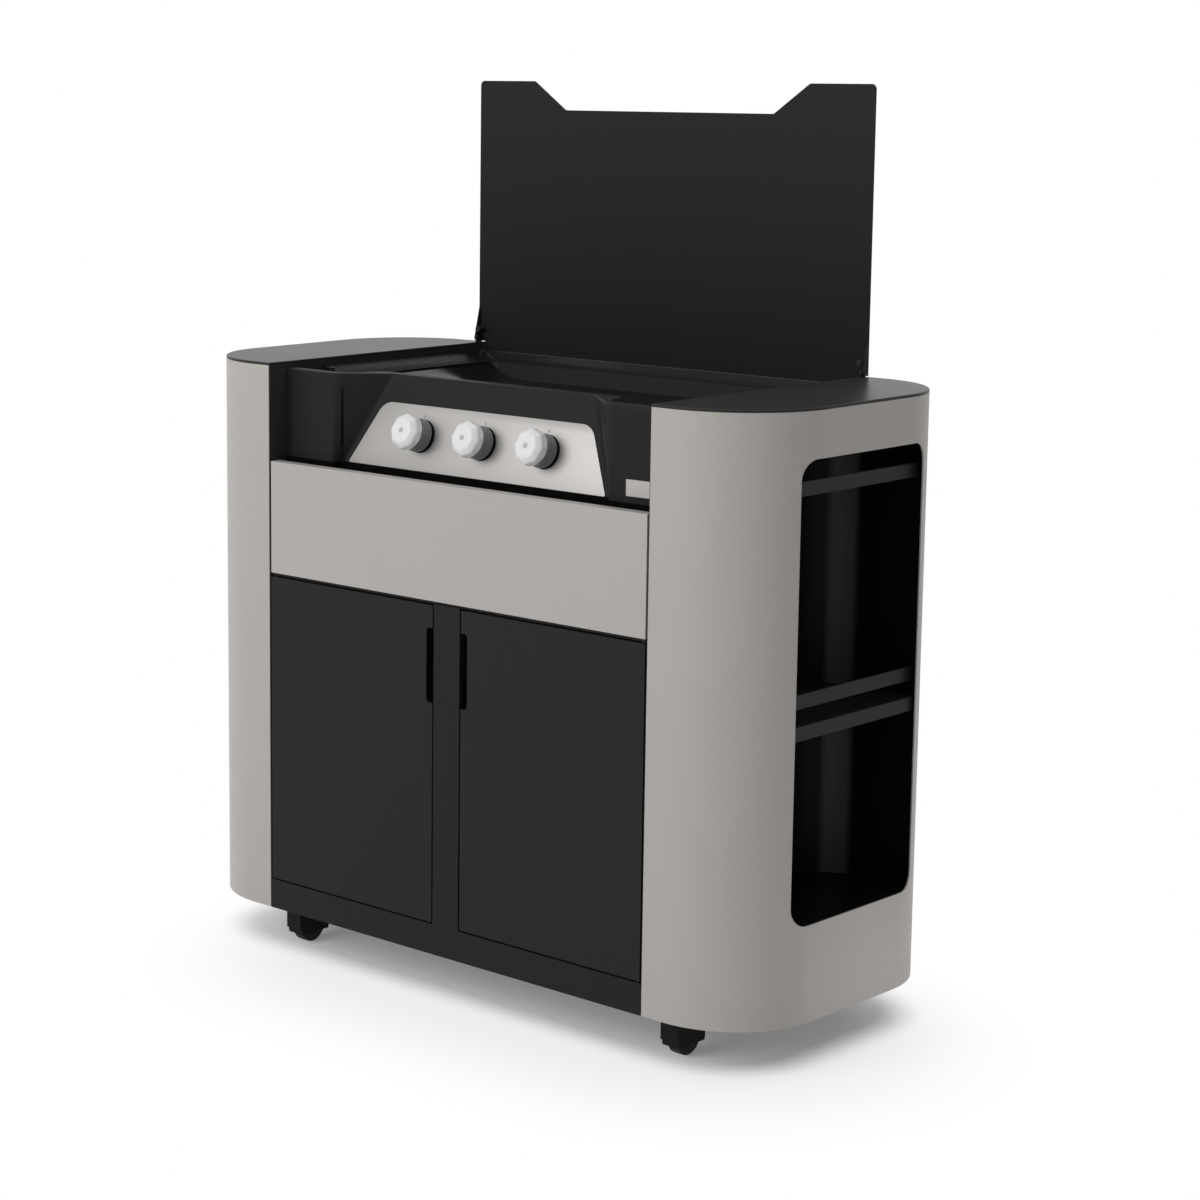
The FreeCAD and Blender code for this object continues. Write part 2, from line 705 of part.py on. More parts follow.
def front_section():
    """Section of the front sheet as (height, shift back) pairs: wall, rolled rim and lip."""
    bend_start = front_top - RIM_BEND
    half_bend = RIM_BEND * math.sqrt(0.5)
    return [
        (front_bottom, 0.0),
        (bend_start, 0.0),
        (bend_start + half_bend, RIM_BEND - half_bend),
        (front_top, RIM_BEND),
        (front_top, RIM_BEND + RIM_LIP),
        (front_top - RIM_THICKNESS, RIM_BEND + RIM_LIP),
        (front_top - RIM_THICKNESS, FRONT_SHEET),
        (front_bottom, FRONT_SHEET),
    ]


def griddle_front():
    """Sculpted front sheet: wings, double-curved shoulders, sloping console and rolled rim."""
    section = front_section()
    faces = []
    for index, (z, shift) in enumerate(section):
        last_z, last_shift = section[index - 1]
        if z == last_z:
            faces.append(level_strip(z, last_shift, shift))
        else:
            pairs = zip(front_edges(last_z, last_shift), front_edges(z, shift))
            faces += [strip(lower, upper) for lower, upper in pairs]
    for side in (-1, 1):
        corners = []
        for z, shift in section:
            x, y = front_plan(z, shift)[5]
            corners.append(Vector(side * x, y, z))
        faces.append(Part.Face(Part.makePolygon(corners + corners[:1])))
    sheet = closed_solid(faces)
    for foot in knob_places():
        sheet = sheet.cut(tube(STEM_HOLE, foot - console_out * 2 * FRONT_SHEET, console_out, 4 * FRONT_SHEET))
    return sheet


def control_plate():
    """Bright plate on the console: a trapezium with rounded upper corners."""
    corners = [
        (-PLATE_HALF_BOTTOM, 0.0, PLATE_BOTTOM_RADIUS),
        (PLATE_HALF_BOTTOM, 0.0, PLATE_BOTTOM_RADIUS),
        (PLATE_HALF_TOP, PLATE_HEIGHT, PLATE_TOP_RADIUS),
        (-PLATE_HALF_TOP, PLATE_HEIGHT, PLATE_TOP_RADIUS),
    ]
    plate = prism(corners, on_console, console_out * PLATE_SHEET)
    for foot in knob_places():
        plate = plate.cut(tube(STEM_HOLE, foot, console_out, PLATE_SHEET))
    return plate


def name_plate():
    """Blank bright plate low on the right wing."""
    start_x, start_y = front_plan(front_bottom, 0)[4]
    sweep = math.radians(WING_SWEEP)
    along = Vector(math.cos(sweep), math.sin(sweep), 0)
    out = Vector(math.sin(sweep), -math.cos(sweep), 0)
    reach = (inside_x - NAME_PLATE_INSET - start_x) / math.cos(sweep)
    foot = Vector(start_x, start_y, front_bottom + NAME_PLATE_RISE) + along * reach

    def place(u, v):
        return foot + along * u + Vector(0, 0, v)

    corners = rectangle(0, NAME_PLATE_WIDTH, 0, NAME_PLATE_HEIGHT)
    return prism(corners, place, out * NAME_PLATE_SHEET)


def knob_bezels():
    """Black ring on the plate behind each knob, drafted towards its outer face."""
    rings = []
    for foot in knob_places():
        start = foot + console_out * PLATE_SHEET
        ring = Part.makeCone(BEZEL_RADIUS, BEZEL_RADIUS - BEZEL_DRAFT, BEZEL_HEIGHT, start, console_out)
        rings.append(ring.cut(tube(BEZEL_HOLE, start, console_out, BEZEL_HEIGHT)))
    return Part.makeCompound(rings)


def knob_base_height():
    """Height of a released knob's back above the console."""
    return PLATE_SHEET + BEZEL_HEIGHT + KNOB_TRAVEL + KNOB_RUNNING_GAP


def knob_ring(foot, radius, height):
    """Corners of the knob's faceted cap at a height over the console."""
    corners = []
    for index in range(2 * KNOB_FLATS):
        angle = math.pi * index / KNOB_FLATS
        reach = radius if index % 2 else radius * KNOB_FLAT_SHARE
        spot = Vector(reach * math.cos(angle), 0, 0) + console_up * (reach * math.sin(angle))
        corners.append(foot + spot + console_out * height)
    return corners


def knob(foot):
    """Knob with a round skirt and a faceted, tapering cap, on its steel stem."""
    base = knob_base_height()
    cap_base = base + KNOB_BAND_LENGTH
    cap_top = cap_base + KNOB_CAP_LENGTH
    start = foot + console_out * base
    skirt = tube(KNOB_RADIUS - KNOB_SKIRT_STEP, start, console_out, KNOB_BAND_LENGTH)
    cap = faceted(
        [
            knob_ring(foot, KNOB_RADIUS, cap_base),
            knob_ring(foot, KNOB_RADIUS, cap_top - KNOB_NOSE_LENGTH),
            knob_ring(foot, KNOB_RADIUS - KNOB_NOSE_STEP, cap_top),
        ]
    )
    stem_top = KNOB_BAND_LENGTH + KNOB_CAP_LENGTH / 2
    body = skirt.fuse(cap).cut(tube(STEM_RADIUS, start, console_out, stem_top))
    stem_bottom = KNOB_TRAVEL + FIT_GAP - FRONT_SHEET - VALVE_BORE_DEPTH
    stem = tube(STEM_RADIUS, foot + console_out * stem_bottom, console_out, base + stem_top - stem_bottom)
    return Part.makeCompound([body, stem])


def knob_washer(foot):
    """Spring washer that rides on the stem and carries the knob's push."""
    top = knob_base_height() - FIT_GAP
    start = foot + console_out * (top - WASHER_THICKNESS)
    washer = tube(WASHER_RADIUS, start, console_out, WASHER_THICKNESS)
    return washer.cut(tube(STEM_RADIUS + PIN_CLEARANCE, start, console_out, WASHER_THICKNESS))


def valve_face(foot):
    """Middle of a valve's front face, just behind the console sheet."""
    return foot - console_out * (FRONT_SHEET + FIT_GAP)


def gas_valves():
    """Hexagonal valve body behind each knob, with its bored stem seat and a leg to the manifold."""
    valves = []
    for foot in knob_places():
        front = valve_face(foot)

        def place(u, v):
            return front + Vector(u, 0, 0) + console_up * v

        body = prism(hexagon(VALVE_RADIUS), place, console_out * -VALVE_LENGTH)
        leg_top = front - console_out * VALVE_LEG_SETBACK
        leg_length = leg_top.z - manifold_centre().z - MANIFOLD_SIDE / 2 - FIT_GAP
        leg = tube(VALVE_LEG_RADIUS, leg_top, Vector(0, 0, -1), leg_length)
        bore = tube(STEM_RADIUS + PIN_CLEARANCE, front, console_out * -1, VALVE_BORE_DEPTH)
        valves.append(body.fuse(leg).cut(bore))
    return Part.makeCompound(valves)


def manifold_centre():
    """Middle of the gas manifold, under the valves' legs."""
    leg_y = (valve_face(knob_places()[1]) - console_out * VALVE_LEG_SETBACK).y
    return Vector(0, leg_y, front_bottom + MANIFOLD_LIFT + MANIFOLD_SIDE / 2)


def gas_manifold():
    """Square manifold tube, supply pipe round to the rear and the male inlet below the deck."""
    centre = manifold_centre()
    half = MANIFOLD_SIDE / 2
    reach = KNOB_SPACING + abs(KNOB_ROW_OFFSET) + MANIFOLD_END
    rail = box(-reach, reach, centre.y - half, centre.y + half, centre.z - half, centre.z + half)
    low = deck_bottom - INLET_DROP
    turns = [Vector(supply_x, centre.y, centre.z), Vector(supply_x, inlet_y, centre.z)]
    side = ELBOW_SIDE / 2
    pieces = [
        tube(SUPPLY_RADIUS, Vector(reach, centre.y, centre.z), Vector(1, 0, 0), supply_x - reach),
        tube(SUPPLY_RADIUS, turns[0], Vector(0, 1, 0), inlet_y - centre.y),
        tube(SUPPLY_RADIUS, Vector(supply_x, inlet_y, low), Vector(0, 0, 1), centre.z - low),
        tube(INLET_RADIUS, Vector(supply_x, inlet_y, low - INLET_LENGTH), Vector(0, 0, 1), INLET_LENGTH),
        prism(hexagon(NUT_RADIUS, supply_x, inlet_y), level(low), Vector(0, 0, NUT_HEIGHT)),
    ]
    for turn in turns:
        pieces.append(
            box(turn.x - side, turn.x + side, turn.y - side, turn.y + side, turn.z - side, turn.z + side)
        )
    return rail.fuse(pieces).removeSplitter()


def griddle_surround():
    """Sheet frame round the cooktop: sloping sides, upright rear band and a flat ledge."""
    thick = INNER_SHEET
    slope = prism(
        [
            (inside_x, surround_top, 0),
            (ledge_x, ledge_top, 0),
            (ledge_x, ledge_top - thick, 0),
            (inside_x, surround_top - thick, 0),
        ],
        upright(ledge_front),
        Vector(0, surround_back - ledge_front, 0),
    )
    band = box(-inside_x, inside_x, surround_back - thick, surround_back, ledge_top - thick, surround_top)
    ledge = box(-ledge_x, ledge_x, ledge_front, surround_back, ledge_top - thick, ledge_top)
    corner = box(-inside_x, inside_x, ledge_front - thick, ledge_front, ledge_top - thick, surround_top)
    corner = corner.cut(box(-ledge_x, ledge_x, front_y, ledge_front, ledge_top, surround_top))
    outline = behind_front(ledge_top, FRONT_SHEET + FIT_GAP, ledge_front)
    apron = Part.Face(outline).extrude(Vector(0, 0, -thick))
    frame = ledge.fuse([slope, mirrored(slope), band, apron, corner])
    hole = rectangle(-cooktop_x, cooktop_x, ledge_front + LEDGE_WIDTH, ledge_back, COOKTOP_RADIUS)
    frame = frame.cut(prism(hole, level(ledge_top - 2 * thick), Vector(0, 0, 3 * thick)))
    return frame.removeSplitter()


def cooktop_wire(inset, z):
    """Plan of the cooking tray at a height."""
    clear = inset + FIT_GAP
    corners = rectangle(
        -cooktop_x + clear,
        cooktop_x - clear,
        ledge_front + LEDGE_WIDTH + clear,
        ledge_back - clear,
        COOKTOP_RADIUS - inset,
    )
    return rounded_wire(corners, level(z))


def cooktop():
    """Steel cooking tray: thick flat plate, flared walls, rolled rim and a grease slot."""
    plate_top = ledge_top - COOKTOP_DEPTH
    outer = Part.makeLoft([cooktop_wire(COOKTOP_FLARE, plate_top), cooktop_wire(0, ledge_top)], True, True)
    wall = COOKTOP_RIM
    inner = Part.makeLoft(
        [cooktop_wire(COOKTOP_FLARE + wall, plate_top), cooktop_wire(wall, ledge_top)], True, True
    )
    base = Part.Face(cooktop_wire(COOKTOP_FLARE, plate_top - COOKTOP_PLATE))
    floor = base.extrude(Vector(0, 0, COOKTOP_PLATE))
    rim = Part.Face(cooktop_wire(-COOKTOP_FLANGE, ledge_top)).extrude(Vector(0, 0, COOKTOP_RIM))
    mouth = Part.Face(cooktop_wire(wall, ledge_top)).extrude(Vector(0, 0, COOKTOP_RIM))
    tray = outer.cut(inner).fuse([floor, rim.cut(mouth)])
    slot = rectangle(
        -GREASE_SLOT_LENGTH / 2,
        GREASE_SLOT_LENGTH / 2,
        grease_slot_y - GREASE_SLOT_WIDTH / 2,
        grease_slot_y + GREASE_SLOT_WIDTH / 2,
        GREASE_SLOT_RADIUS,
    )
    through = prism(slot, level(plate_top - COOKTOP_PLATE), Vector(0, 0, COOKTOP_PLATE))
    return tray.cut(through).removeSplitter()


def burner_box():
    """Sheet tray that carries the burners and the cooktop's ledge."""
    top = ledge_top - INNER_SHEET
    outer = box(-burner_box_x, burner_box_x, burner_box_front, burner_box_back, front_bottom, top)
    inner = box(
        -burner_box_x + INNER_SHEET,
        burner_box_x - INNER_SHEET,
        burner_box_front + INNER_SHEET,
        burner_box_back - INNER_SHEET,
        front_bottom + INNER_SHEET,
        top,
    )
    tray = outer.cut(inner).cut(chute_outer(FIT_GAP))
    for foot in knob_places():
        start = Vector(foot.x, burner_box_front, front_bottom + BURNER_RISE)
        tray = tray.cut(tube(VENTURI_RADIUS + FIT_GAP, start, Vector(0, 1, 0), INNER_SHEET))
    return tray


def burners():
    """Tubular H-shaped burner for each knob, with its venturi through the tray's front."""
    pieces = []
    height = front_bottom + BURNER_RISE
    half = BURNER_LEG_SPACING / 2
    middle = (burner_start + burner_end) / 2
    back = Vector(0, 1, 0)
    for foot in knob_places():
        cross = tube(BURNER_CROSS_RADIUS, Vector(foot.x - half, middle, height), Vector(1, 0, 0), 2 * half)
        mouth = Vector(foot.x, burner_box_front - VENTURI_REACH, height)
        parts = [tube(VENTURI_RADIUS, mouth, back, middle - mouth.y)]
        for side in (-1, 1):
            start = Vector(foot.x + side * half, burner_start, height)
            parts.append(tube(BURNER_RADIUS, start, back, burner_end - burner_start))
        pieces.append(cross.fuse(parts))
    return Part.makeCompound(pieces)


def igniters():
    """Spark electrode beside each burner: a ceramic body with a square tip, on the tray's floor."""
    pieces = []
    half = ELECTRODE_TIP_WIDTH / 2
    top = front_bottom + INNER_SHEET + ELECTRODE_LENGTH
    y = burner_box_front + ELECTRODE_SETBACK
    for foot in knob_places():
        x = foot.x + BURNER_LEG_SPACING / 4
        start = Vector(x, y, front_bottom + INNER_SHEET)
        body = tube(ELECTRODE_RADIUS, start, Vector(0, 0, 1), ELECTRODE_LENGTH)
        pieces.append(body.fuse(box(x - half, x + half, y - half, y + half, top, top + ELECTRODE_TIP)))
    return Part.makeCompound(pieces)


def chute_outer(clearance):
    """Outside of the grease chute's upright neck."""
    half_x = chute_half_x + clearance
    half_y = chute_half_y + clearance
    top = ledge_top - COOKTOP_DEPTH - COOKTOP_PLATE
    return box(-half_x, half_x, grease_slot_y - half_y, grease_slot_y + half_y, deck_bottom - clearance, top)


def grease_chute():
    """Chute under the grease slot: a straight neck and a funnel down to the cup."""
    top = ledge_top - COOKTOP_DEPTH - COOKTOP_PLATE - FIT_GAP
    outlet = cup_top + CHUTE_CUP_GAP

    def ring(half_x, inset, z):
        front = grease_slot_y - chute_half_y + inset
        back = grease_slot_y + chute_half_y - inset
        return [Vector(u, v, z) for u, v, radius in rectangle(inset - half_x, half_x - inset, front, back)]

    def body(inset):
        rings = [ring(chute_half_x, inset, top), ring(chute_half_x, inset, deck_bottom)]
        return faceted(rings + [ring(CHUTE_OUTLET / 2, inset, outlet)])

    return body(0).cut(body(CHUTE_WALL))


def grease_cup():
    """Cup with drafted walls, a rim that hangs on its rails and a rear pull face."""
    half_x = CUP_WIDTH / 2
    front = cup_back - CUP_DEPTH
    back = cup_back - CUP_WALL

    def ring(inset, z):
        corners = clipped(inset - half_x, half_x - inset, front + inset, back - inset, CUP_CORNER)
        return [Vector(u, v, z) for u, v, radius in corners]

    outer = faceted([ring(CUP_DRAFT, cup_bottom), ring(0, cup_top)])
    inner = faceted([ring(CUP_DRAFT + CUP_WALL, cup_bottom + CUP_WALL), ring(CUP_WALL, cup_top)])
    rim = box(-half_x - CUP_RIM, half_x + CUP_RIM, front, cup_back, cup_top - CUP_WALL, cup_top)
    face = box(-half_x, half_x, back, cup_back, cup_bottom, cup_top)
    return outer.fuse([rim, face]).cut(inner).removeSplitter()


def cup_rails():
    """Pair of hanging channels that the cup's rim slides in, fixed under the deck."""
    inner_x = CUP_WIDTH / 2 + FIT_GAP
    outer_x = inner_x + CUP_RIM + INNER_SHEET
    web_x = outer_x - INNER_SHEET
    slot_bottom = cup_top - CUP_WALL - FIT_GAP
    channel_top = cup_top + CUP_RAIL_HEIGHT
    back = back_panel_y - BACK_SHEET - FIT_GAP
    channel = box(inner_x, outer_x, cup_rail_front, back, slot_bottom - INNER_SHEET, channel_top)
    slot = box(inner_x, web_x, cup_rail_front + INNER_SHEET, back, slot_bottom, channel_top)
    hanger = box(web_x, outer_x, cup_rail_front, back, cup_top, deck_bottom)
    rail = channel.cut(slot).fuse(hanger).removeSplitter()
    return Part.makeCompound([rail, mirrored(rail)])


def bracket_post(clearance):
    """Upright of the right lid bracket, from inside the pod to the lid's pivot."""
    x1 = lid_half_width - LID_EAR_SHEET - FIT_GAP + clearance
    x0 = x1 - LID_BRACKET_SHEET - 2 * clearance
    half = LID_EAR_RADIUS + clearance
    low = top_underside - LID_BRACKET_DEPTH
    return box(x0, x1, lid_pivot.y - half, lid_pivot.y + half, low, lid_pivot.z)


def lid_brackets():
    """Lid bracket at each side, standing through the counter, with its hinge pin."""
    across = Vector(1, 0, 0)
    tip = lid_pivot + across * (lid_half_width - LID_EAR_SHEET - FIT_GAP)
    eye = tube(LID_EAR_RADIUS, tip - across * LID_BRACKET_SHEET, across, LID_BRACKET_SHEET)
    pin = tube(LID_PIN_RADIUS, tip, across, LID_EAR_SHEET + 2 * FIT_GAP)
    foot = box(
        half_opening + SHELL_SHEET + FIT_GAP,
        tip.x + LID_FOOT_REACH,
        lid_pivot.y - LID_EAR_RADIUS,
        lid_pivot.y + LID_EAR_RADIUS,
        top_underside - INNER_SHEET,
        top_underside,
    )
    bracket = bracket_post(0).fuse([eye, foot, pin]).removeSplitter()
    return Part.makeCompound([bracket, mirrored(bracket)])


def lid_panel():
    """Flat lid with a notched free edge, hinge ears at its sides and a stop tail."""
    notch_floor = lid_top - LID_NOTCH_DEPTH
    corners = [
        (-lid_half_width, lid_bottom, 0),
        (lid_half_width, lid_bottom, 0),
        (lid_half_width, lid_top, LID_CORNER),
        (LID_NOTCH_HALF_TOP, lid_top, LID_NOTCH_RADIUS),
        (LID_NOTCH_HALF_BOTTOM, notch_floor, LID_NOTCH_RADIUS),
        (-LID_NOTCH_HALF_BOTTOM, notch_floor, LID_NOTCH_RADIUS),
        (-LID_NOTCH_HALF_TOP, lid_top, LID_NOTCH_RADIUS),
        (-lid_half_width, lid_top, LID_CORNER),
    ]
    sheet = prism(corners, upright(lid_front_y), Vector(0, LID_SHEET, 0))
    tail_x = wall_x - LID_TAIL_MARGIN
    tail = box(-tail_x, tail_x, lid_front_y, back_panel_y, COUNTER_HEIGHT - LID_TAIL, lid_bottom)
    ear_x = lid_half_width - LID_EAR_SHEET
    front = lid_pivot.y - LID_EAR_RADIUS
    web = prism(
        [
            (front, lid_pivot.z, 0),
            (back_panel_y, lid_pivot.z, 0),
            (back_panel_y, lid_pivot.z + LID_EAR_HEIGHT, 0),
            (lid_front_y, lid_pivot.z + LID_EAR_HEIGHT, 0),
        ],
        sideways(ear_x),
        Vector(LID_EAR_SHEET, 0, 0),
    )
    across = Vector(1, 0, 0)
    start = lid_pivot + across * ear_x
    eye = tube(LID_EAR_RADIUS, start, across, LID_EAR_SHEET)
    hole = tube(LID_PIN_RADIUS + PIN_CLEARANCE, start, across, LID_EAR_SHEET)
    ear = web.fuse(eye)
    lid = sheet.fuse([tail, ear, mirrored(ear)])
    return lid.cut(hole).cut(mirrored(hole)).removeSplitter()


def lid_bumpers():
    """Rubber buttons beside the hinge ears that rest on the counters when the lid is closed."""
    height = lid_closed_gap - FIT_GAP
    x = lid_half_width - LID_EAR_SHEET - FIT_GAP - BUMPER_RADIUS
    start = Vector(x, lid_front_y - height, lid_pivot.z + BUMPER_RISE)
    bumper = tube(BUMPER_RADIUS, start, Vector(0, 1, 0), height)
    return Part.makeCompound([bumper, mirrored(bumper)])


def notch_corners(margin=0.0):
    """Outline of the handle notch in the right door's free edge."""
    low = notch_bottom - margin
    high = notch_top + margin
    edge = door_inner_x - REVEAL
    reach = door_inner_x + NOTCH_WIDTH + margin
    return [(edge, low, 0), (reach, low, NOTCH_RADIUS), (reach, high, NOTCH_RADIUS), (edge, high, 0)]


def door():
    """Right door: outer pan with turned edges, handle notch and hinge pins."""
    outer = box(door_inner_x, door_outer_x, front_y, door_back_y - DOOR_SHEET, door_bottom, door_top)
    hollow = box(
        door_inner_x + DOOR_SHEET,
        door_outer_x - DOOR_SHEET,
        front_y + DOOR_SHEET,
        door_back_y - DOOR_SHEET,
        door_bottom + DOOR_SHEET,
        door_top - DOOR_SHEET,
    )
    pan = outer.cut(hollow)
    pan = pan.cut(prism(notch_corners(), upright(front_y), Vector(0, DOOR_THICKNESS, 0)))
    low = BOTTOM_RAIL_TOP - SHELL_SHEET
    for start, end in ((low, door_bottom + DOOR_SHEET), (door_top - DOOR_SHEET, divider_top)):
        pin = tube(DOOR_PIN_RADIUS, Vector(door_pivot.x, door_pivot.y, start), Vector(0, 0, 1), end - start)
        pan = pan.fuse(pin)
    return pan.removeSplitter()


def door_liner():
    """Right door's inner sheet with the pull cup behind the handle notch."""
    sheet_front = door_back_y - DOOR_SHEET
    sheet = box(door_inner_x, door_outer_x, sheet_front, door_back_y, door_bottom, door_top)
    cup_front = front_y + DOOR_SHEET + FIT_GAP
    cup = prism(notch_corners(PULL_REACH), upright(cup_front), Vector(0, sheet_front - cup_front, 0))
    core = prism(
        notch_corners(PULL_REACH - DOOR_SHEET),
        upright(cup_front),
        Vector(0, sheet_front - cup_front, 0),
    )
    inside = box(
        door_inner_x + DOOR_SHEET + FIT_GAP,
        door_outer_x,
        cup_front,
        sheet_front,
        door_bottom,
        door_top,
    )
    cup = cup.cut(core).common(inside)
    return sheet.fuse(cup).removeSplitter()


def drawer_front():
    """Painted drawer front: a pan with turned edges."""
    half = wall_x - REVEAL
    outer = box(-half, half, front_y, drawer_pan_back, drawer_bottom, drawer_top)
    hollow = box(
        -half + DOOR_SHEET,
        half - DOOR_SHEET,
        front_y + DOOR_SHEET,
        drawer_pan_back,
        drawer_bottom + DOOR_SHEET,
        drawer_top - DOOR_SHEET,
    )
    return outer.cut(hollow)


def drawer_box():
    """Open drawer body fixed behind the front."""
    top = drawer_floor + DRAWER_BOX_HEIGHT
    outer = box(-drawer_side_x, drawer_side_x, drawer_pan_back, drawer_back, drawer_floor, top)
    hollow = box(
        -drawer_side_x + INNER_SHEET,
        drawer_side_x - INNER_SHEET,
        drawer_pan_back + INNER_SHEET,
        drawer_back - INNER_SHEET,
        drawer_floor + INNER_SHEET,
        top,
    )
    half = wall_x - REVEAL
    face = box(-half, half, drawer_pan_back, drawer_pan_back + INNER_SHEET, drawer_bottom, top)
    return outer.cut(hollow).fuse(face).removeSplitter()


def drawer_runners():
    """Fixed channel on each inner wall."""
    low = drawer_floor + RUNNER_LIFT
    high = low + RUNNER_HEIGHT
    open_x = inside_x - RUNNER_LIP
    back = runner_front + runner_length
    channel = box(open_x, inside_x, runner_front, back, low, high)
    way = box(open_x, inside_x - INNER_SHEET, runner_front, back, low + INNER_SHEET, high - INNER_SHEET)
    runner = channel.cut(way)
    return Part.makeCompound([runner, mirrored(runner)])


def drawer_slides():
    """Sliding bar on each side of the drawer."""
    inset = INNER_SHEET + SLIDE_CLEARANCE
    low = drawer_floor + RUNNER_LIFT + inset
    high = drawer_floor + RUNNER_LIFT + RUNNER_HEIGHT - inset
    bar = box(drawer_side_x, inside_x - inset, runner_front, runner_front + runner_length, low, high)
    return Part.makeCompound([bar, mirrored(bar)])


def caster_centres():
    """Swivel axes of the four casters, by name."""
    reach = half_length - CASTER_END_INSET
    side = half_depth - CASTER_SIDE_INSET
    names = {}
    for end, x in (("left", -reach), ("right", reach)):
        for row, y in (("front", -side), ("rear", side)):
            names[end + "_" + row] = Vector(x, y, 0)
    return names


def caster_plates():
    """Mounting plate and kingpin of each caster."""
    half = CASTER_PLATE / 2
    low = BASE_HEIGHT - CASTER_PLATE_THICKNESS
    plates = []
    up = Vector(0, 0, 1)
    for centre in caster_centres().values():
        plan = clipped(centre.x - half, centre.x + half, centre.y - half, centre.y + half, CASTER_PLATE_CLIP)
        plate = prism(plan, level(low), up * CASTER_PLATE_THICKNESS)
        pin = tube(KINGPIN_RADIUS, centre + up * (low - KINGPIN_LENGTH), up, KINGPIN_LENGTH)
        plates.append(plate.fuse(pin))
    return Part.makeCompound(plates)


def caster_hood(centre):
    """Swivelling hood: a round head, a fender over the wheel and its axle."""
    head_top = BASE_HEIGHT - CASTER_PLATE_THICKNESS - FIT_GAP
    head_bottom = head_top - HEAD_HEIGHT
    up = Vector(0, 0, 1)
    across = Vector(1, 0, 0)
    axle = centre + Vector(0, WHEEL_TRAIL, WHEEL_RADIUS)
    well_radius = WHEEL_RADIUS + HOOD_CLEARANCE
    inner_half = WHEEL_WIDTH / 2 + HOOD_CLEARANCE
    outer_half = inner_half + HOOD_WALL
    head = tube(HEAD_RADIUS, centre + up * head_bottom, up, HEAD_HEIGHT)
    fender = tube(well_radius + HOOD_WALL, axle - across * outer_half, across, 2 * outer_half)
    neck = box(
        centre.x - outer_half,
        centre.x + outer_half,
        centre.y - HOOD_NOSE,
        axle.y + HOOD_TAIL,
        WHEEL_RADIUS,
        head_bottom + HOOD_WALL,
    )
    well = tube(well_radius, axle - across * inner_half, across, 2 * inner_half)
    mouth = box(
        centre.x - inner_half,
        centre.x + inner_half,
        axle.y - well_radius,
        axle.y + well_radius,
        0,
        WHEEL_RADIUS,
    )
    below = box(
        centre.x - HEAD_RADIUS,
        centre.x + HEAD_RADIUS,
        axle.y - 2 * WHEEL_RADIUS,
        axle.y + 2 * WHEEL_RADIUS,
        -WHEEL_RADIUS,
        HOOD_SKIRT_RISE,
    )
    hood = head.fuse([fender, neck]).cut(well).cut(mouth).cut(below)
    socket_bottom = head_top - KINGPIN_LENGTH - FIT_GAP
    socket_radius = KINGPIN_RADIUS + PIN_CLEARANCE
    socket = tube(socket_radius, centre + up * socket_bottom, up, BASE_HEIGHT - socket_bottom)
    pin = tube(AXLE_RADIUS, axle - across * outer_half, across, 2 * outer_half)
    return hood.cut(socket).fuse(pin).removeSplitter()


def caster_wheel(centre):
    """Wheel with flat sides and a tread that is chamfered at both edges."""
    axle = centre + Vector(0, WHEEL_TRAIL, WHEEL_RADIUS)
    half = WHEEL_WIDTH / 2
    bore = AXLE_RADIUS + PIN_CLEARANCE
    edge = WHEEL_RADIUS - TREAD_CHAMFER
    profile = [
        (-half, bore, 0),
        (half, bore, 0),
        (half, edge, 0),
        (half - TREAD_CHAMFER, WHEEL_RADIUS, 0),
        (TREAD_CHAMFER - half, WHEEL_RADIUS, 0),
        (-half, edge, 0),
    ]
    face = Part.Face(rounded_wire(profile, lambda u, v: axle + Vector(u, 0, v)))
    return face.revolve(axle, Vector(1, 0, 0), 360)


def build_nodes():
    """Every named piece of the station."""
    nodes = {}
    paired = {
        "side_shell": side_shell,
        "top_panel": top_panel,
        "inner_wall": inner_wall,
        "bay_liner": bay_liner,
        "bay_plates": bay_plates,
        "shelf": shelf,
        "bay_rails": bay_rails,
        "door": door,
        "door_liner": door_liner,
    }
    for name, maker in paired.items():
        piece = maker()
        nodes["right_" + name] = piece
        nodes["left_" + name] = mirrored(piece)
    single = (
        base_plate,
        front_frame,
        cabinet_floor,
        cabinet_back,
        drawer_divider,
        griddle_deck,
        griddle_front,
        control_plate,
        name_plate,
        knob_bezels,
        gas_valves,
        gas_manifold,
        griddle_surround,
        cooktop,
        burner_box,
        burners,
        igniters,
        grease_chute,
        grease_cup,
        cup_rails,
        lid_brackets,
        lid_panel,
        lid_bumpers,
        drawer_front,
        drawer_box,
        drawer_runners,
        drawer_slides,
        caster_plates,
    )
    for maker in single:
        nodes[maker.__name__] = maker()
    for place, foot in zip(("left", "centre", "right"), knob_places()):
        nodes[place + "_knob"] = knob(foot)
        nodes[place + "_knob_washer"] = knob_washer(foot)
    for place, centre in caster_centres().items():
        nodes[place + "_caster_hood"] = caster_hood(centre)
        nodes[place + "_caster_wheel"] = caster_wheel(centre)
    return nodes


os.makedirs("parts", exist_ok=True)
for node_name, node_shape in build_nodes().items():
    node_shape.exportStep("parts/" + node_name + ".step")
    print(node_name, len(node_shape.Solids), round(node_shape.Volume), node_shape.isValid())
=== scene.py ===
# Looks of the outdoor griddle station: powder coats, plates, knobs, floor, light and
# camera. Metres, +Z up, the front faces -Y, as in the part itself.
import json
import math

import bpy
from mathutils import Matrix, Vector


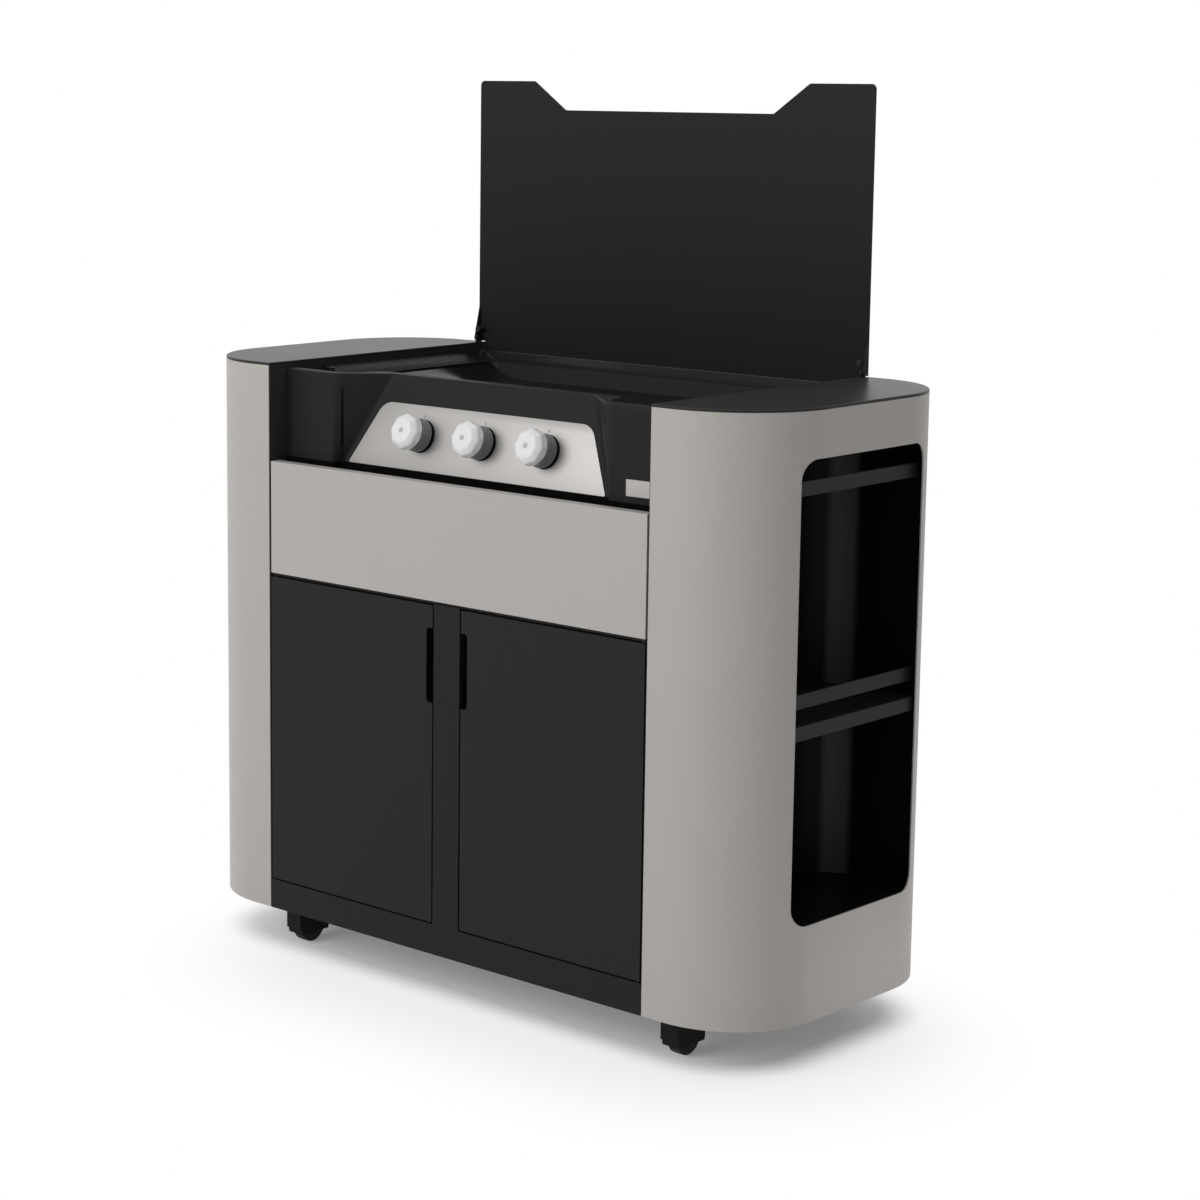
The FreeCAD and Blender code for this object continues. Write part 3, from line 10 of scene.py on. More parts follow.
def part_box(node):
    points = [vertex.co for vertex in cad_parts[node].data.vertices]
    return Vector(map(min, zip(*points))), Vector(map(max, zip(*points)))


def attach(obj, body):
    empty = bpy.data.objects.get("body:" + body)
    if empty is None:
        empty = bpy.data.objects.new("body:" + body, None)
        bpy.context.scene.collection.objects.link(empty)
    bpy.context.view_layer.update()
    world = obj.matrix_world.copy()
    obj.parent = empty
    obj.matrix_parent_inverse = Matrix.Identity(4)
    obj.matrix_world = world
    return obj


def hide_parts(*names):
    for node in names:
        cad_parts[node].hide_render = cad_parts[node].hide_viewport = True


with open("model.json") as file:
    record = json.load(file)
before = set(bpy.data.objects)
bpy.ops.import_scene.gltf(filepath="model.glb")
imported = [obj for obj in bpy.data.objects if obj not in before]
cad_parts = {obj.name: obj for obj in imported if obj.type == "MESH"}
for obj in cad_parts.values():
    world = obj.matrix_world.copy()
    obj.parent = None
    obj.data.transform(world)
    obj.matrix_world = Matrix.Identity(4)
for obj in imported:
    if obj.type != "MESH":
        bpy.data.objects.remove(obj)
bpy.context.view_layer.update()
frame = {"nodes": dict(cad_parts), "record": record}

SIDES = ("left", "right")

# Camera, worked out from the straight edges of the photograph
PICTURE_SIDE = 1200.0
FOCAL_PIXELS = 2857.48
CENTRE_X = 398.31
CENTRE_Y = 533.36
CAMERA_AZIMUTH = 43.974
CAMERA_ELEVATION = 9.327
CAMERA_ROLL = 0.170
CAMERA_PLACE = (2.71276, -3.15002, 1.34862)
CAMERA_REACH = 100.0
SENSOR = 36.0

# Lamps: name, place, target, width, height, power and whether the eye and reflections see
# them. The two glows stand for the light that the floor throws back on the round ends.
LAMPS = (
    ("key", (-1.2, -4.8, 2.6), (0, 0, 0.5), 2.7, 2.4, 144.0, True),
    ("right_floor_glow", (0.72, 0.08, 0.012), (0.66, 0.06, 0.3), 0.22, 0.40, 0.50, False),
    ("left_floor_glow", (-0.72, -0.20, 0.012), (-0.66, -0.16, 0.3), 0.22, 0.40, 0.30, False),
    ("overhead", (0.2, 0.2, 4.4), (0, 0, 0.6), 4.0, 4.0, 34.0, True),
)
ROOM_LIGHT = 0.42

# Floor: its reach, its two greys and the size of their patches. Plain white has a share
# of it close under the station, and more is added past the close shadow and past the wide
# one. A shadow's plan is a rectangle (middle and half size, X and Y), the close one's with
# round ends, and it fades between two distances from there.
FLOOR_REACH = 30.0
FLOOR_GREYS = (0.86, 0.88)
FLOOR_PATCH = 0.5
WHITE_UNDER = 0.168
WHITE_PAST_CORE = 0.562
WHITE_PAST_WIDE = 0.270
END_ROUND = 0.142
CORE_SHADOW = ((-0.021, 0.402), (0.031, 0.097))
CORE_FADE = (-0.049, 0.028)
WIDE_SHADOW = ((0.082, 0.245), (-0.064, 0.0))
WIDE_FADE = (0.191, 0.479)

# Sculpted front: half plan from the console to the wing, at its foot and at its crest. Its
# console is narrower at the crest than that of the part's own sheet, whose outer arcs and
# rim it keeps. The radius is that of the hollow between the console and the shoulder.
FRONT_FOOT = 0.768
FRONT_RISE = 0.132
FRONT_SHEET = 0.0022
CREST_Y = -0.206
CREST_HALF = 0.272
CREST_PAST = 0.003
CONSOLE_Y = (-0.188, -0.1475)
CONSOLE_HALF = (0.252, 0.185)
SHEET_CONSOLE_HALF = (0.252, 0.208)
HOLLOW_RADIUS = (0.0086, 0.018)
WING_SWEEP = math.radians(1.5)
WING_MIDDLE = CREST_HALF + 0.030
WING_END = 0.3632
RIM_BEND = 0.003
RIM_LIP = 0.013
RIM_THICKNESS = 0.002

# Panel seam in the front's shoulders: distance from the middle at the foot and the crest,
# half width, width of its sharp edge, depth, upper end and the height over which it fades
SEAM_HALF = (0.2562, 0.2495)
SEAM_WIDTH = 0.0016
SEAM_EDGE = 0.0003
SEAM_DEPTH = 0.0060
SEAM_TOP = 0.112
SEAM_FADE = 0.012

# Softened edges of the sheet parts: distance below which points are one, bend below which
# faces are one, bend above which an edge is rounded, and the round's segments
WELD_DISTANCE = 0.00002
FLAT_BEND = math.radians(0.4)
SOFT_BEND = math.radians(32)
SOFT_SEGMENTS = 2

# Rows and columns of points in the front sheet
CONSOLE_COLUMNS = 4
RAMP_COLUMNS = 30
CREST_COLUMNS = 18
FACE_ROWS = 16
RIM_ROWS = 4

# Console that carries the knobs
CONSOLE_FOOT = Vector((0.0, CONSOLE_Y[0], FRONT_FOOT))
CONSOLE_LEAN = math.atan2(CONSOLE_Y[1] - CONSOLE_Y[0], FRONT_RISE)
CONSOLE_OUT = Vector((0.0, -math.cos(CONSOLE_LEAN), math.sin(CONSOLE_LEAN)))
CONSOLE_UP = Vector((0.0, math.sin(CONSOLE_LEAN), math.cos(CONSOLE_LEAN)))

# Bright plate on the console: half widths, height and corner radii at its foot and top
PLATE_FACE = 0.0015
PLATE_HALF = (0.2470, 0.1990)
PLATE_RISE = 0.0960
PLATE_RADIUS = (0.002, 0.028)
PLATE_MIDDLE = Vector((0.0, 0.046))
PLATE_CORNER_STEPS = 10
# Height and inset of the rings of points that make the plate's eased edge
PLATE_EDGE = (
    (0.00005, 0.0),
    (PLATE_FACE - 0.0005, 0.0),
    (PLATE_FACE - 0.0001, 0.0002),
    (PLATE_FACE, 0.0006),
)

# Knobs. A profile gives (height, radius) or (height, radius, flatness) from the back of
# the knob outwards. Flatness 1 is a ring with flats, 0 or none is a round one.
KNOB_RISE = 0.051
KNOB_PLACES = {"left": -0.1115, "centre": 0.0075, "right": 0.1265}
KNOB_BACK = 0.0101
KNOB_FLATS = 8
KNOB_TURNS = 64
DOT_TURNS = 24
STEM_PROFILE = (
    (-0.0250, 0.0028),
    (-0.0030, 0.0029),
    (-0.0027, 0.0030),
    (-0.0027, 0.0205),
    (-0.0021, 0.0212),
    (-0.0006, 0.0212),
)
BEAD_PROFILE = (
    (-0.0025, 0.0200),
    (-0.0025, 0.0239),
    (-0.0021, 0.0246),
    (-0.0015, 0.0248),
    (-0.0009, 0.0246),
    (-0.0006, 0.0240),
    (-0.0006, 0.0200),
)
BAND_PROFILE = (
    (-0.0005, 0.0200),
    (-0.0005, 0.0236),
    (-0.0001, 0.0240),
    (0.0086, 0.0243),
    (0.0089, 0.0240),
    (0.0096, 0.0240),
    (0.0099, 0.0243),
    (0.0196, 0.0246),
    (0.0202, 0.0242),
    (0.0204, 0.0230),
)
CAP_PROFILE = (
    (0.0205, 0.0230),
    (0.0205, 0.0256),
    (0.0208, 0.0262),
    (0.0214, 0.0265, 0.2),
    (0.0222, 0.0265, 0.5),
    (0.0262, 0.0263, 0.8),
    (0.0306, 0.0257, 1),
    (0.0314, 0.0250, 1),
    (0.0362, 0.0197, 1),
    (0.0370, 0.0183, 1),
    (0.0374, 0.0165, 1),
    (0.0375, 0.0100, 0.5),
    (0.0375, 0.0048),
    (0.0373, 0.0042),
    (0.0368, 0.0039),
    (0.0365, 0.0035),
)
DOT_PROFILE = (
    (0.0355, 0.0036),
    (0.0367, 0.0036),
    (0.0369, 0.0030),
)

# Short marks above the knobs, with the lift and the size of the rings of points that make
# one from the plate outwards
TICK_RISE = KNOB_RISE + 0.0295
TICK_SHIFT = -0.002
TICK_WIDTH = 0.0015
TICK_HEIGHT = 0.0040
TICK_THICKNESS = 0.00035
TICK_RADIUS = 0.0004
TICK_CORNER_STEPS = 6
TICK_RINGS = ((-0.0002, 1.0), (TICK_THICKNESS * 0.6, 1.0), (TICK_THICKNESS, 0.86))

# Low rings on the plate behind the knobs, from the plate outwards and back inside
RING_PROFILE = (
    (0.0, 0.0248),
    (0.0016, 0.0245),
    (0.0022, 0.0242),
    (0.0024, 0.0236),
    (0.0024, 0.0150),
    (0.0004, 0.0145),
)

# Direction that the end bays' corners face, and how near to it the painted sheen on the
# lining starts and is full
BAY_CORNER_SIDEWAYS = 0.50
BAY_CORNER_FORWARD = 0.87
BAY_SHEEN_BAND = (0.935, 0.995)

# Hollow slopes at the two ends of the cooking tray: the flange and wall outside one, the
# rim above it, its height, its length and how hollow it is, then how far its face and its
# underside stand above the level that its height is measured from
TRAY_WALL = 0.0102
TRAY_RIM = 0.0035
TRAY_DEPTH = 0.0216
TRAY_SLOPE = 0.062
TRAY_HOLLOW = 1.7
TRAY_LIFT = 0.0003
TRAY_FOOT = 0.0002
TRAY_STEPS = 12


class Channel:
    """A socket of a finish, with arithmetic on its values."""

    def __init__(self, finish, socket):
        self.finish = finish
        self.socket = socket

    def maths(self, operation, first, second):
        return self.finish.node("ShaderNodeMath", {"operation": operation}, {0: first, 1: second})

    def __add__(self, other):
        return self.maths("ADD", self, other)

    def __radd__(self, other):
        return self.maths("ADD", other, self)

    def __sub__(self, other):
        return self.maths("SUBTRACT", self, other)

    def __rsub__(self, other):
        return self.maths("SUBTRACT", other, self)

    def __mul__(self, other):
        return self.maths("MULTIPLY", self, other)

    def __rmul__(self, other):
        return self.maths("MULTIPLY", other, self)

    def __pow__(self, other):
        return self.maths("POWER", self, other)

    def __gt__(self, other):
        return self.maths("GREATER_THAN", self, other)


class Finish:
    """A material, or the surroundings, built from nodes."""

    def __init__(self, name, kept_in=bpy.data.materials):
        self.owner = kept_in.new(name)
        self.owner.use_nodes = True
        self.tree = self.owner.node_tree
        self.tree.nodes.clear()

    def node(self, kind, settings=None, inputs=None, output=0):
        """The one way in which nodes are made: settings first, then what goes in."""
        made = self.tree.nodes.new(kind)
        for key, value in (settings or {}).items():
            if key == "stops":
                set_stops(made.color_ramp, value)
            else:
                setattr(made, key, value)
        for key, value in (inputs or {}).items():
            if isinstance(value, Channel):
                self.tree.links.new(value.socket, made.inputs[key])
            else:
                made.inputs[key].default_value = value
        return Channel(self, made.outputs[output]) if made.outputs else None

    def place(self):
        """Where a point lies in the station, in metres."""
        return self.node("ShaderNodeTexCoord", output="Object")

    def stretched(self, scale):
        """The place stretched by a scale for each axis, for grain that runs one way."""
        return self.node(
            "ShaderNodeVectorMath", {"operation": "MULTIPLY"}, {0: self.place(), 1: scale}
        )

    def cloud(self, size, detail=2.0, place=None):
        """Soft noise from 0 to 1 whose patches are about size across."""
        inputs = {
            "Vector": place or self.place(),
            "Scale": 1.0 / size,
            "Detail": detail,
            "Roughness": 0.5,
        }
        return self.node("ShaderNodeTexNoise", {}, inputs)

    def coordinate(self, axis, vector=None):
        """One coordinate of the place or of another vector."""
        return self.node("ShaderNodeSeparateXYZ", {}, {0: vector or self.place()}, output=axis)

    def unsigned(self, value):
        """A value without its sign."""
        return self.node("ShaderNodeMath", {"operation": "ABSOLUTE"}, {0: value})

    def risen(self, value, start, end, smooth=True):
        """0 up to a start, 1 from an end on, and a rise between them."""
        settings = {"interpolation_type": "SMOOTHSTEP"} if smooth else {}
        inputs = {"Value": value, "From Min": start, "From Max": end}
        return self.node("ShaderNodeMapRange", settings, inputs)

    def plan_distance(self, shape):
        """Distance in plan from a rectangle (middle and half size, X and Y)."""
        outside = []
        for axis, (middle, half) in zip("XY", shape):
            away = self.unsigned(self.coordinate(axis) - middle) - half
            outside.append(self.node("ShaderNodeMath", {"operation": "MAXIMUM"}, {0: away, 1: 0.0}))
        return (outside[0] ** 2.0 + outside[1] ** 2.0) ** 0.5

    def seen(self):
        """1 where the eye meets the surface straight, in a reflection or through glass."""
        straight = self.node("ShaderNodeLightPath", output="Is Camera Ray")
        glossy = self.node("ShaderNodeLightPath", output="Is Glossy Ray")
        through = self.node("ShaderNodeLightPath", output="Is Transmission Ray")
        settings = {"operation": "ADD", "use_clamp": True}
        return self.node("ShaderNodeMath", settings, {0: straight + glossy, 1: through})

    def mixed(self, first, second, share):
        """Colour between two, by a share."""
        return self.node(
            "ShaderNodeMix",
            {"data_type": "RGBA"},
            {0: share, 6: first, 7: second},
            output=2,
        )

    def ramp(self, share, stops):
        """Colour from a row of places and colours."""
        return self.node("ShaderNodeValToRGB", {"stops": stops}, {0: share})

    def bumped(self, height, depth):
        """Surface direction over a relief of a depth in metres."""
        inputs = {"Height": height, "Distance": depth, "Strength": 1.0}
        return self.node("ShaderNodeBump", {}, inputs)

    def surface(self, **sockets):
        """Ends the finish with one shader. Words of the socket names are joined by _."""
        inputs = {key.replace("_", " "): value for key, value in sockets.items()}
        shader = self.node("ShaderNodeBsdfPrincipled", {}, inputs)
        self.node("ShaderNodeOutputMaterial", {}, {"Surface": shader})
        return self.owner


def set_stops(ramp, stops):
    while len(ramp.elements) < len(stops):
        ramp.elements.new(0.5)
    for element, (place, colour) in zip(ramp.elements, stops):
        element.position = place
        element.color = colour


def grey(level, warmth=0.0):
    """Colour of a grey level with a little warmth."""
    return (level * (1 + warmth), level, level * (1 - warmth), 1.0)


def shaded(colour, factor):
    return tuple(c * factor for c in colour[:3]) + (1.0,)


def powder_coat(name, colour, rough, specular, peel=0.00003, painted_shade_below=None):
    """Baked powder paint: faint clouds in the colour, an even fine orange peel. The painted shade
    below is a pair of heights and the share of its colour that the paint keeps at the lower one."""
    finish = Finish(name)
    clouds = finish.cloud(0.35, detail=3.0)
    speck = finish.cloud(0.0011, detail=1.0)
    skin = finish.cloud(0.0024)
    base = finish.mixed(shaded(colour, 0.96), shaded(colour, 1.04), clouds)
    toned = finish.mixed(base, shaded(colour, 0.86), (speck > 0.66) * 0.35)
    # Painted shade: the colour darkens from the upper height down to the lower one.
    if painted_shade_below:
        low, high, kept = painted_shade_below
        height = finish.risen(finish.coordinate("Z"), low, high, smooth=False)
        toned = finish.mixed(shaded(colour, kept), toned, height)
    return finish.surface(
        Base_Color=toned,
        Roughness=rough + (clouds - 0.5) * 0.06 + (speck - 0.5) * 0.08,
        Specular_IOR_Level=specular,
        Normal=finish.bumped(skin, peel),
    )


def brushed_metal(name, colour, rough, metal):
    """Sheet metal with fine lines along its length."""
    finish = Finish(name)
    lines = finish.cloud(0.05, detail=4.0, place=finish.stretched((3.0, 90.0, 90.0)))
    clouds = finish.cloud(0.12)
    base = finish.mixed(shaded(colour, 0.93), shaded(colour, 1.05), lines)
    return finish.surface(
        Base_Color=finish.mixed(base, shaded(colour, 0.97), clouds),
        Metallic=metal,
        Roughness=rough + (lines - 0.5) * 0.16,
        Normal=finish.bumped(lines, 0.00002),
    )


def zinc_plate(name):
    """Bright zinc with its faint crystals and a few dull patches."""
    finish = Finish(name)
    crystals = finish.node(
        "ShaderNodeTexVoronoi", {}, {"Vector": finish.place(), "Scale": 160.0}, output="Distance"
    )
    dull = finish.cloud(0.03, detail=3.0)
    base = finish.mixed(grey(0.52, -0.01), grey(0.66, 0.01), crystals)
    return finish.surface(
        Base_Color=finish.mixed(base, grey(0.42), (dull > 0.62) * 0.4),
        Metallic=0.95,
        Roughness=0.30 + dull * 0.2,
        Normal=finish.bumped(crystals, 0.00001),
    )


def seasoned_iron(name):
    """Cooking steel, oiled and baked black, with scraper marks and lighter spots rubbed by use."""
    finish = Finish(name)
    strokes = finish.cloud(0.02, detail=5.0, place=finish.stretched((9.0, 1.2, 9.0)))
    patches = finish.cloud(0.09, detail=4.0)
    pores = finish.cloud(0.0015)
    base = finish.mixed(grey(0.006, 0.05), grey(0.009, 0.08), patches)
    return finish.surface(
        Base_Color=finish.mixed(base, grey(0.03, 0.04), (strokes > 0.63) * 0.3),
        Metallic=0.0,
        Specular_IOR_Level=0.09,
        Roughness=0.42 + patches * 0.12 + (strokes - 0.5) * 0.1,
        Normal=finish.bumped(pores * 0.4 + strokes * 0.6, 0.00006),
    )


def burner_metal(name):
    """Stainless tube and sheet, straw and blue from the flames in places."""
    finish = Finish(name)
    heat = finish.cloud(0.06, detail=3.0)
    lines = finish.cloud(0.03, detail=3.0, place=finish.stretched((40.0, 3.0, 40.0)))
    stops = [
        (0.0, (0.46, 0.45, 0.44, 1.0)),
        (0.5, (0.50, 0.46, 0.40, 1.0)),
        (0.68, (0.42, 0.30, 0.20, 1.0)),
        (0.85, (0.24, 0.26, 0.36, 1.0)),
    ]
    return finish.surface(
        Base_Color=finish.ramp(heat, stops),
        Metallic=1.0,
        Roughness=0.28 + lines * 0.2,
        Normal=finish.bumped(lines, 0.00002),
    )


def turned_metal(name, colour, rough):
    """Turned bar stock: fine rings and a few handling marks."""
    finish = Finish(name)
    rings = finish.cloud(0.002, place=finish.stretched((1.0, 9.0, 9.0)))
    marks = finish.cloud(0.015, detail=3.0)
    return finish.surface(
        Base_Color=finish.mixed(shaded(colour, 0.85), colour, marks),
        Metallic=1.0,
        Roughness=rough + rings * 0.12,
        Normal=finish.bumped(rings, 0.00001),
    )


def bay_lining(name, colour, sheen_colour):
    """Dull lining of the end bays, with a painted sheen that is paler where the sheet bends round
    their corners: there it faces the bay's middle and a little ahead."""
    finish = Finish(name)
    clouds = finish.cloud(0.05, detail=3.0)
    facing = finish.node("ShaderNodeNewGeometry", output="Normal")
    sideways = finish.unsigned(finish.coordinate("X", facing))
    ahead = finish.coordinate("Y", facing)
    facing_corner = sideways * BAY_CORNER_SIDEWAYS - ahead * BAY_CORNER_FORWARD
    # Painted sheen: the colour turns paler where the lining faces the corners' direction, standing
    # in for a highlight.
    bend = finish.risen(facing_corner, *BAY_SHEEN_BAND)
    return finish.surface(
        Base_Color=finish.mixed(colour, sheen_colour, bend),
        Roughness=0.44 + (clouds - 0.5) * 0.06,
        Specular_IOR_Level=0.05,
    )


def moulded_plastic(name, colour, rough, specular):
    """Injection-moulded nylon or lacquer with its fine grain."""
    finish = Finish(name)
    skin = finish.cloud(0.0008)
    clouds = finish.cloud(0.02)
    return finish.surface(
        Base_Color=finish.mixed(shaded(colour, 0.94), shaded(colour, 1.04), clouds),
        Roughness=rough + (skin - 0.5) * 0.14,
        Specular_IOR_Level=specular,
        Normal=finish.bumped(skin, 0.00003),
    )


def rubber(name, colour):
    """Tyre and bumper rubber: dull, a little dusty."""
    finish = Finish(name)
    dust = finish.cloud(0.012, detail=4.0)
    skin = finish.cloud(0.0012)
    return finish.surface(
        Base_Color=finish.mixed(colour, grey(0.05, 0.06), (dust > 0.58) * 0.3),
        Roughness=0.72 + (skin - 0.5) * 0.2,
        Specular_IOR_Level=0.25,
        Normal=finish.bumped(skin, 0.00006),
    )


TAUPE = (0.392, 0.370, 0.352, 1.0)
SATIN = (0.383, 0.370, 0.358, 1.0)
ALUMINIUM = (0.62, 0.62, 0.62, 1.0)
BRASS = (0.62, 0.45, 0.18, 1.0)
SMOOTH_PEEL = 0.00001

heat_paint = powder_coat("heat_proof_paint", grey(0.0125), rough=0.50, specular=0.09)
# Darker copy of the black paint for the bay shelves: painted shade for the deep bays.
bay_shaded_coat = powder_coat("bay_shelf_painted_shade_coat", grey(0.0040), rough=0.26, specular=0.10)
# Lighter copy of the black paint for the inner walls: painted light on walls that stand in shade.
wall_painted_light_coat = powder_coat("inner_wall_painted_light_coat", grey(0.030), rough=0.40, specular=0.14)
# Bay lining: a darker copy of the black paint as painted shade, paler at the corners as a painted
# sheen.
lining_shade_and_sheen_coat = bay_lining("bay_lining_shade_and_sheen_coat", grey(0.0048), grey(0.0550))
satin_sheet = brushed_metal("satin_plate", SATIN, rough=0.50, metal=0.5)
tray_enamel = moulded_plastic("tray_end_enamel", grey(0.005), rough=0.13, specular=0.5)
knob_white = moulded_plastic("knob_cap_lacquer", grey(0.70, -0.005), rough=0.34, specular=0.25)
knob_grey = moulded_plastic("knob_band_grey", grey(0.165, -0.02), rough=0.30, specular=0.5)
knob_bright = moulded_plastic("knob_bead_grey", grey(0.22, -0.01), rough=0.34, specular=0.3)
knob_pale = moulded_plastic("knob_dot_grey", grey(0.42, -0.01), rough=0.40, specular=0.2)
black_nylon = moulded_plastic("black_nylon", grey(0.0035), rough=0.50, specular=0.12)

# Finish of each material slot
FINISHES = {
    "grey_paint": powder_coat("taupe_powder_coat", TAUPE, rough=0.45, specular=0.28),
    "counter_paint": powder_coat(
        "charcoal_counter_coat", grey(0.026), rough=0.32, specular=0.08, peel=SMOOTH_PEEL
    ),
    "black_paint": powder_coat("black_powder_coat", grey(0.0110), rough=0.44, specular=0.11),
    "door_paint": powder_coat("charcoal_door_coat", grey(0.0135, -0.01), rough=0.50, specular=0.11),
    "griddle_paint": heat_paint,
    "satin_plate": satin_sheet,
    "seasoned_steel": seasoned_iron("seasoned_cooktop"),
    "burner_steel": burner_metal("burner_steel"),
    "aluminium_pipe": turned_metal("aluminium_pipe", ALUMINIUM, rough=0.32),
    "zinc_steel": zinc_plate("zinc_plate"),
    "brass": turned_metal("brass", BRASS, rough=0.26),
    "ceramic": moulded_plastic("ceramic", grey(0.78, 0.02), rough=0.22, specular=0.5),
    "white_knob": knob_white,
    "black_plastic": black_nylon,
    "black_rubber": rubber("black_rubber", grey(0.012)),
}

# Nodes whose paint looks different from the rest of their slot
OWN_FINISHES = {
    # The lid's paint darkens towards its foot: painted shade.
    "lid_panel": powder_coat(
        "black_lid_coat", grey(0.0150), rough=0.52, specular=0.09, painted_shade_below=(0.90, 1.32, 0.45)
    ),
    # Near-black deck: painted shadow in the gap under the control plate.
    "griddle_deck": powder_coat("deck_painted_shadow_coat", grey(0.0012), rough=0.70, specular=0.04),
    "griddle_surround": powder_coat(
        "surround_enamel", grey(0.0075), rough=0.27, specular=0.55, peel=SMOOTH_PEEL
    ),
}
for side in SIDES:
    OWN_FINISHES[side + "_inner_wall"] = wall_painted_light_coat
    OWN_FINISHES[side + "_bay_liner"] = lining_shade_and_sheen_coat
    OWN_FINISHES[side + "_bay_plates"] = bay_shaded_coat


def coat(piece, finish):
    piece.data.materials.clear()
    piece.data.materials.append(finish)


for part in frame["record"]["subparts"]:
    name = part.get("node") or part["name"]
    coat(frame["nodes"][name], OWN_FINISHES.get(name) or FINISHES[part["material_slot"]])


def soften(name, width):
    """Rounds a sheet part's sharp edges a little, so that they catch the light."""
    piece = frame["nodes"][name]
    weld = piece.modifiers.new("weld", "WELD")
    weld.merge_threshold = WELD_DISTANCE
    flat = piece.modifiers.new("flat", "DECIMATE")
    flat.decimate_type = "DISSOLVE"
    flat.angle_limit = FLAT_BEND
    edge = piece.modifiers.new("edge", "BEVEL")
    edge.width = width
    edge.segments = SOFT_SEGMENTS
    edge.limit_method = "ANGLE"
    edge.angle_limit = SOFT_BEND
    edge.harden_normals = False
    normals = piece.modifiers.new("normals", "WEIGHTED_NORMAL")
    normals.keep_sharp = False


# Width of the rounded edges of each sheet part
SOFT_EDGES = {
    "drawer_front": 0.0009,
    "lid_panel": 0.0007,
    "name_plate": 0.0004,
    "front_frame": 0.0007,
    "griddle_surround": 0.0007,
    "cooktop": 0.0006,
}
for side in SIDES:
    SOFT_EDGES[side + "_door"] = 0.0009
    SOFT_EDGES[side + "_inner_wall"] = 0.0004
    for kind in ("top_panel", "side_shell", "bay_rails", "shelf"):
        SOFT_EDGES[f"{side}_{kind}"] = 0.0006
for name, width in SOFT_EDGES.items():
    soften(name, width)


def mesh_piece(name, finish, body, vertices, faces, sharp=None):
    """A smooth piece from points and faces in the station's frame, riding on a body. Its
    edges stay sharp where they bend by more than sharp degrees."""
    mesh = bpy.data.meshes.new(name)
    mesh.from_pydata([tuple(v) for v in vertices], [], faces)
    mesh.update()
    piece = bpy.data.objects.new(name, mesh)
    bpy.context.scene.collection.objects.link(piece)
    coat(piece, finish)
    for polygon in mesh.polygons:
        polygon.use_smooth = True
    if sharp:
        mesh.set_sharp_from_angle(angle=math.radians(sharp))
    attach(piece, body)
    return piece


def ring_faces(count, rings):
    """Faces round and at both ends of a form whose points lie in rings of a count."""
    faces = []
    for ring in range(rings - 1):
        low = ring * count
        high = low + count
        for k in range(count):
            following = (k + 1) % count
            faces.append((low + k, low + following, high + following, high + k))
    faces.append(tuple(reversed(range(count))))
    faces.append(tuple(range((rings - 1) * count, rings * count)))
    return faces


def joined(meshes):
    """Several lists of points and faces as one."""
    vertices = []
    faces = []
    for points, around in meshes:
        shift = len(vertices)
        vertices += points
        faces += [tuple(i + shift for i in face) for face in around]
    return vertices, faces


def console_point(along, rise, lift):
    """Point a distance along the console, up it from its foot and out of its face."""
    return CONSOLE_FOOT + Vector((along, 0, 0)) + CONSOLE_UP * rise + CONSOLE_OUT * lift


def turned_mesh(centre, profile, turns=KNOB_TURNS, flats=None):
    """Points and faces of a form turned about the console's outward axis."""
    across = CONSOLE_OUT.cross(Vector((0.0, 0.0, 1.0))).normalized()
    up = across.cross(CONSOLE_OUT).normalized()
    vertices = []
    for height, radius, *more in profile:
        for k in range(turns):
            angle = 2 * math.pi * k / turns
            reach = radius
            if flats and more:
                within = (angle * flats / (2 * math.pi)) % 1.0 - 0.5
                flat = math.cos(math.pi / flats) / math.cos(2 * math.pi * within / flats)
                reach = radius * (1 - more[0] + more[0] * flat)
            direction = across * math.cos(angle) + up * math.sin(angle)
            vertices.append(centre + CONSOLE_OUT * height + direction * reach)
    return vertices, ring_faces(turns, len(profile))


def knob_piece(side, kind, finish, profile, turns=KNOB_TURNS, flats=None):
    """One turned piece of a knob, riding with the knob."""
    back = console_point(KNOB_PLACES[side], KNOB_RISE, KNOB_BACK)
    form = turned_mesh(back, profile, turns, flats)
    piece = mesh_piece(f"{side}_knob_{kind}", finish, f"{side}_knob_turn_body", *form)
    return piece


def dress_knob(side):
    """White faceted cap with its centre dot, a grey band, a bright bead and a dark stem."""
    shown = knob_piece(side, "cap", knob_white, CAP_PROFILE, flats=KNOB_FLATS)
    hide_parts(f"{side}_knob")
    knob_piece(side, "band", knob_grey, BAND_PROFILE)
    knob_piece(side, "bead", knob_bright, BEAD_PROFILE)
    knob_piece(side, "stem", black_nylon, STEM_PROFILE)
    knob_piece(side, "dot", knob_pale, DOT_PROFILE, turns=DOT_TURNS)


def tick_mark(along):
    """Small rounded bar that lies on the control plate above a knob."""
    outline = []
    for cx, cy, start in ((1, 1, 0), (-1, 1, 90), (-1, -1, 180), (1, -1, 270)):
        for k in range(TICK_CORNER_STEPS + 1):
            angle = math.radians(start + 90 * k / TICK_CORNER_STEPS)
            x = cx * (TICK_WIDTH / 2 - TICK_RADIUS) + TICK_RADIUS * math.cos(angle)
            y = cy * (TICK_HEIGHT / 2 - TICK_RADIUS) + TICK_RADIUS * math.sin(angle)
            outline.append((x, y))
    vertices = []
    for lift, size in TICK_RINGS:
        for x, y in outline:
            vertices.append(console_point(along + x * size, TICK_RISE + y * size, PLATE_FACE + lift))
    return vertices, ring_faces(len(outline), len(TICK_RINGS))


def build_tick_marks():
    """The short marks above the three knobs, as one piece."""
    ticks = [tick_mark(along + TICK_SHIFT) for along in KNOB_PLACES.values()]
    tick_marks = mesh_piece("knob_tick_marks", knob_grey, "cabinet", *joined(ticks))


def between(pair, share):
    """Value between a pair for the front's foot and its crest."""
    return pair[0] + (pair[1] - pair[0]) * share


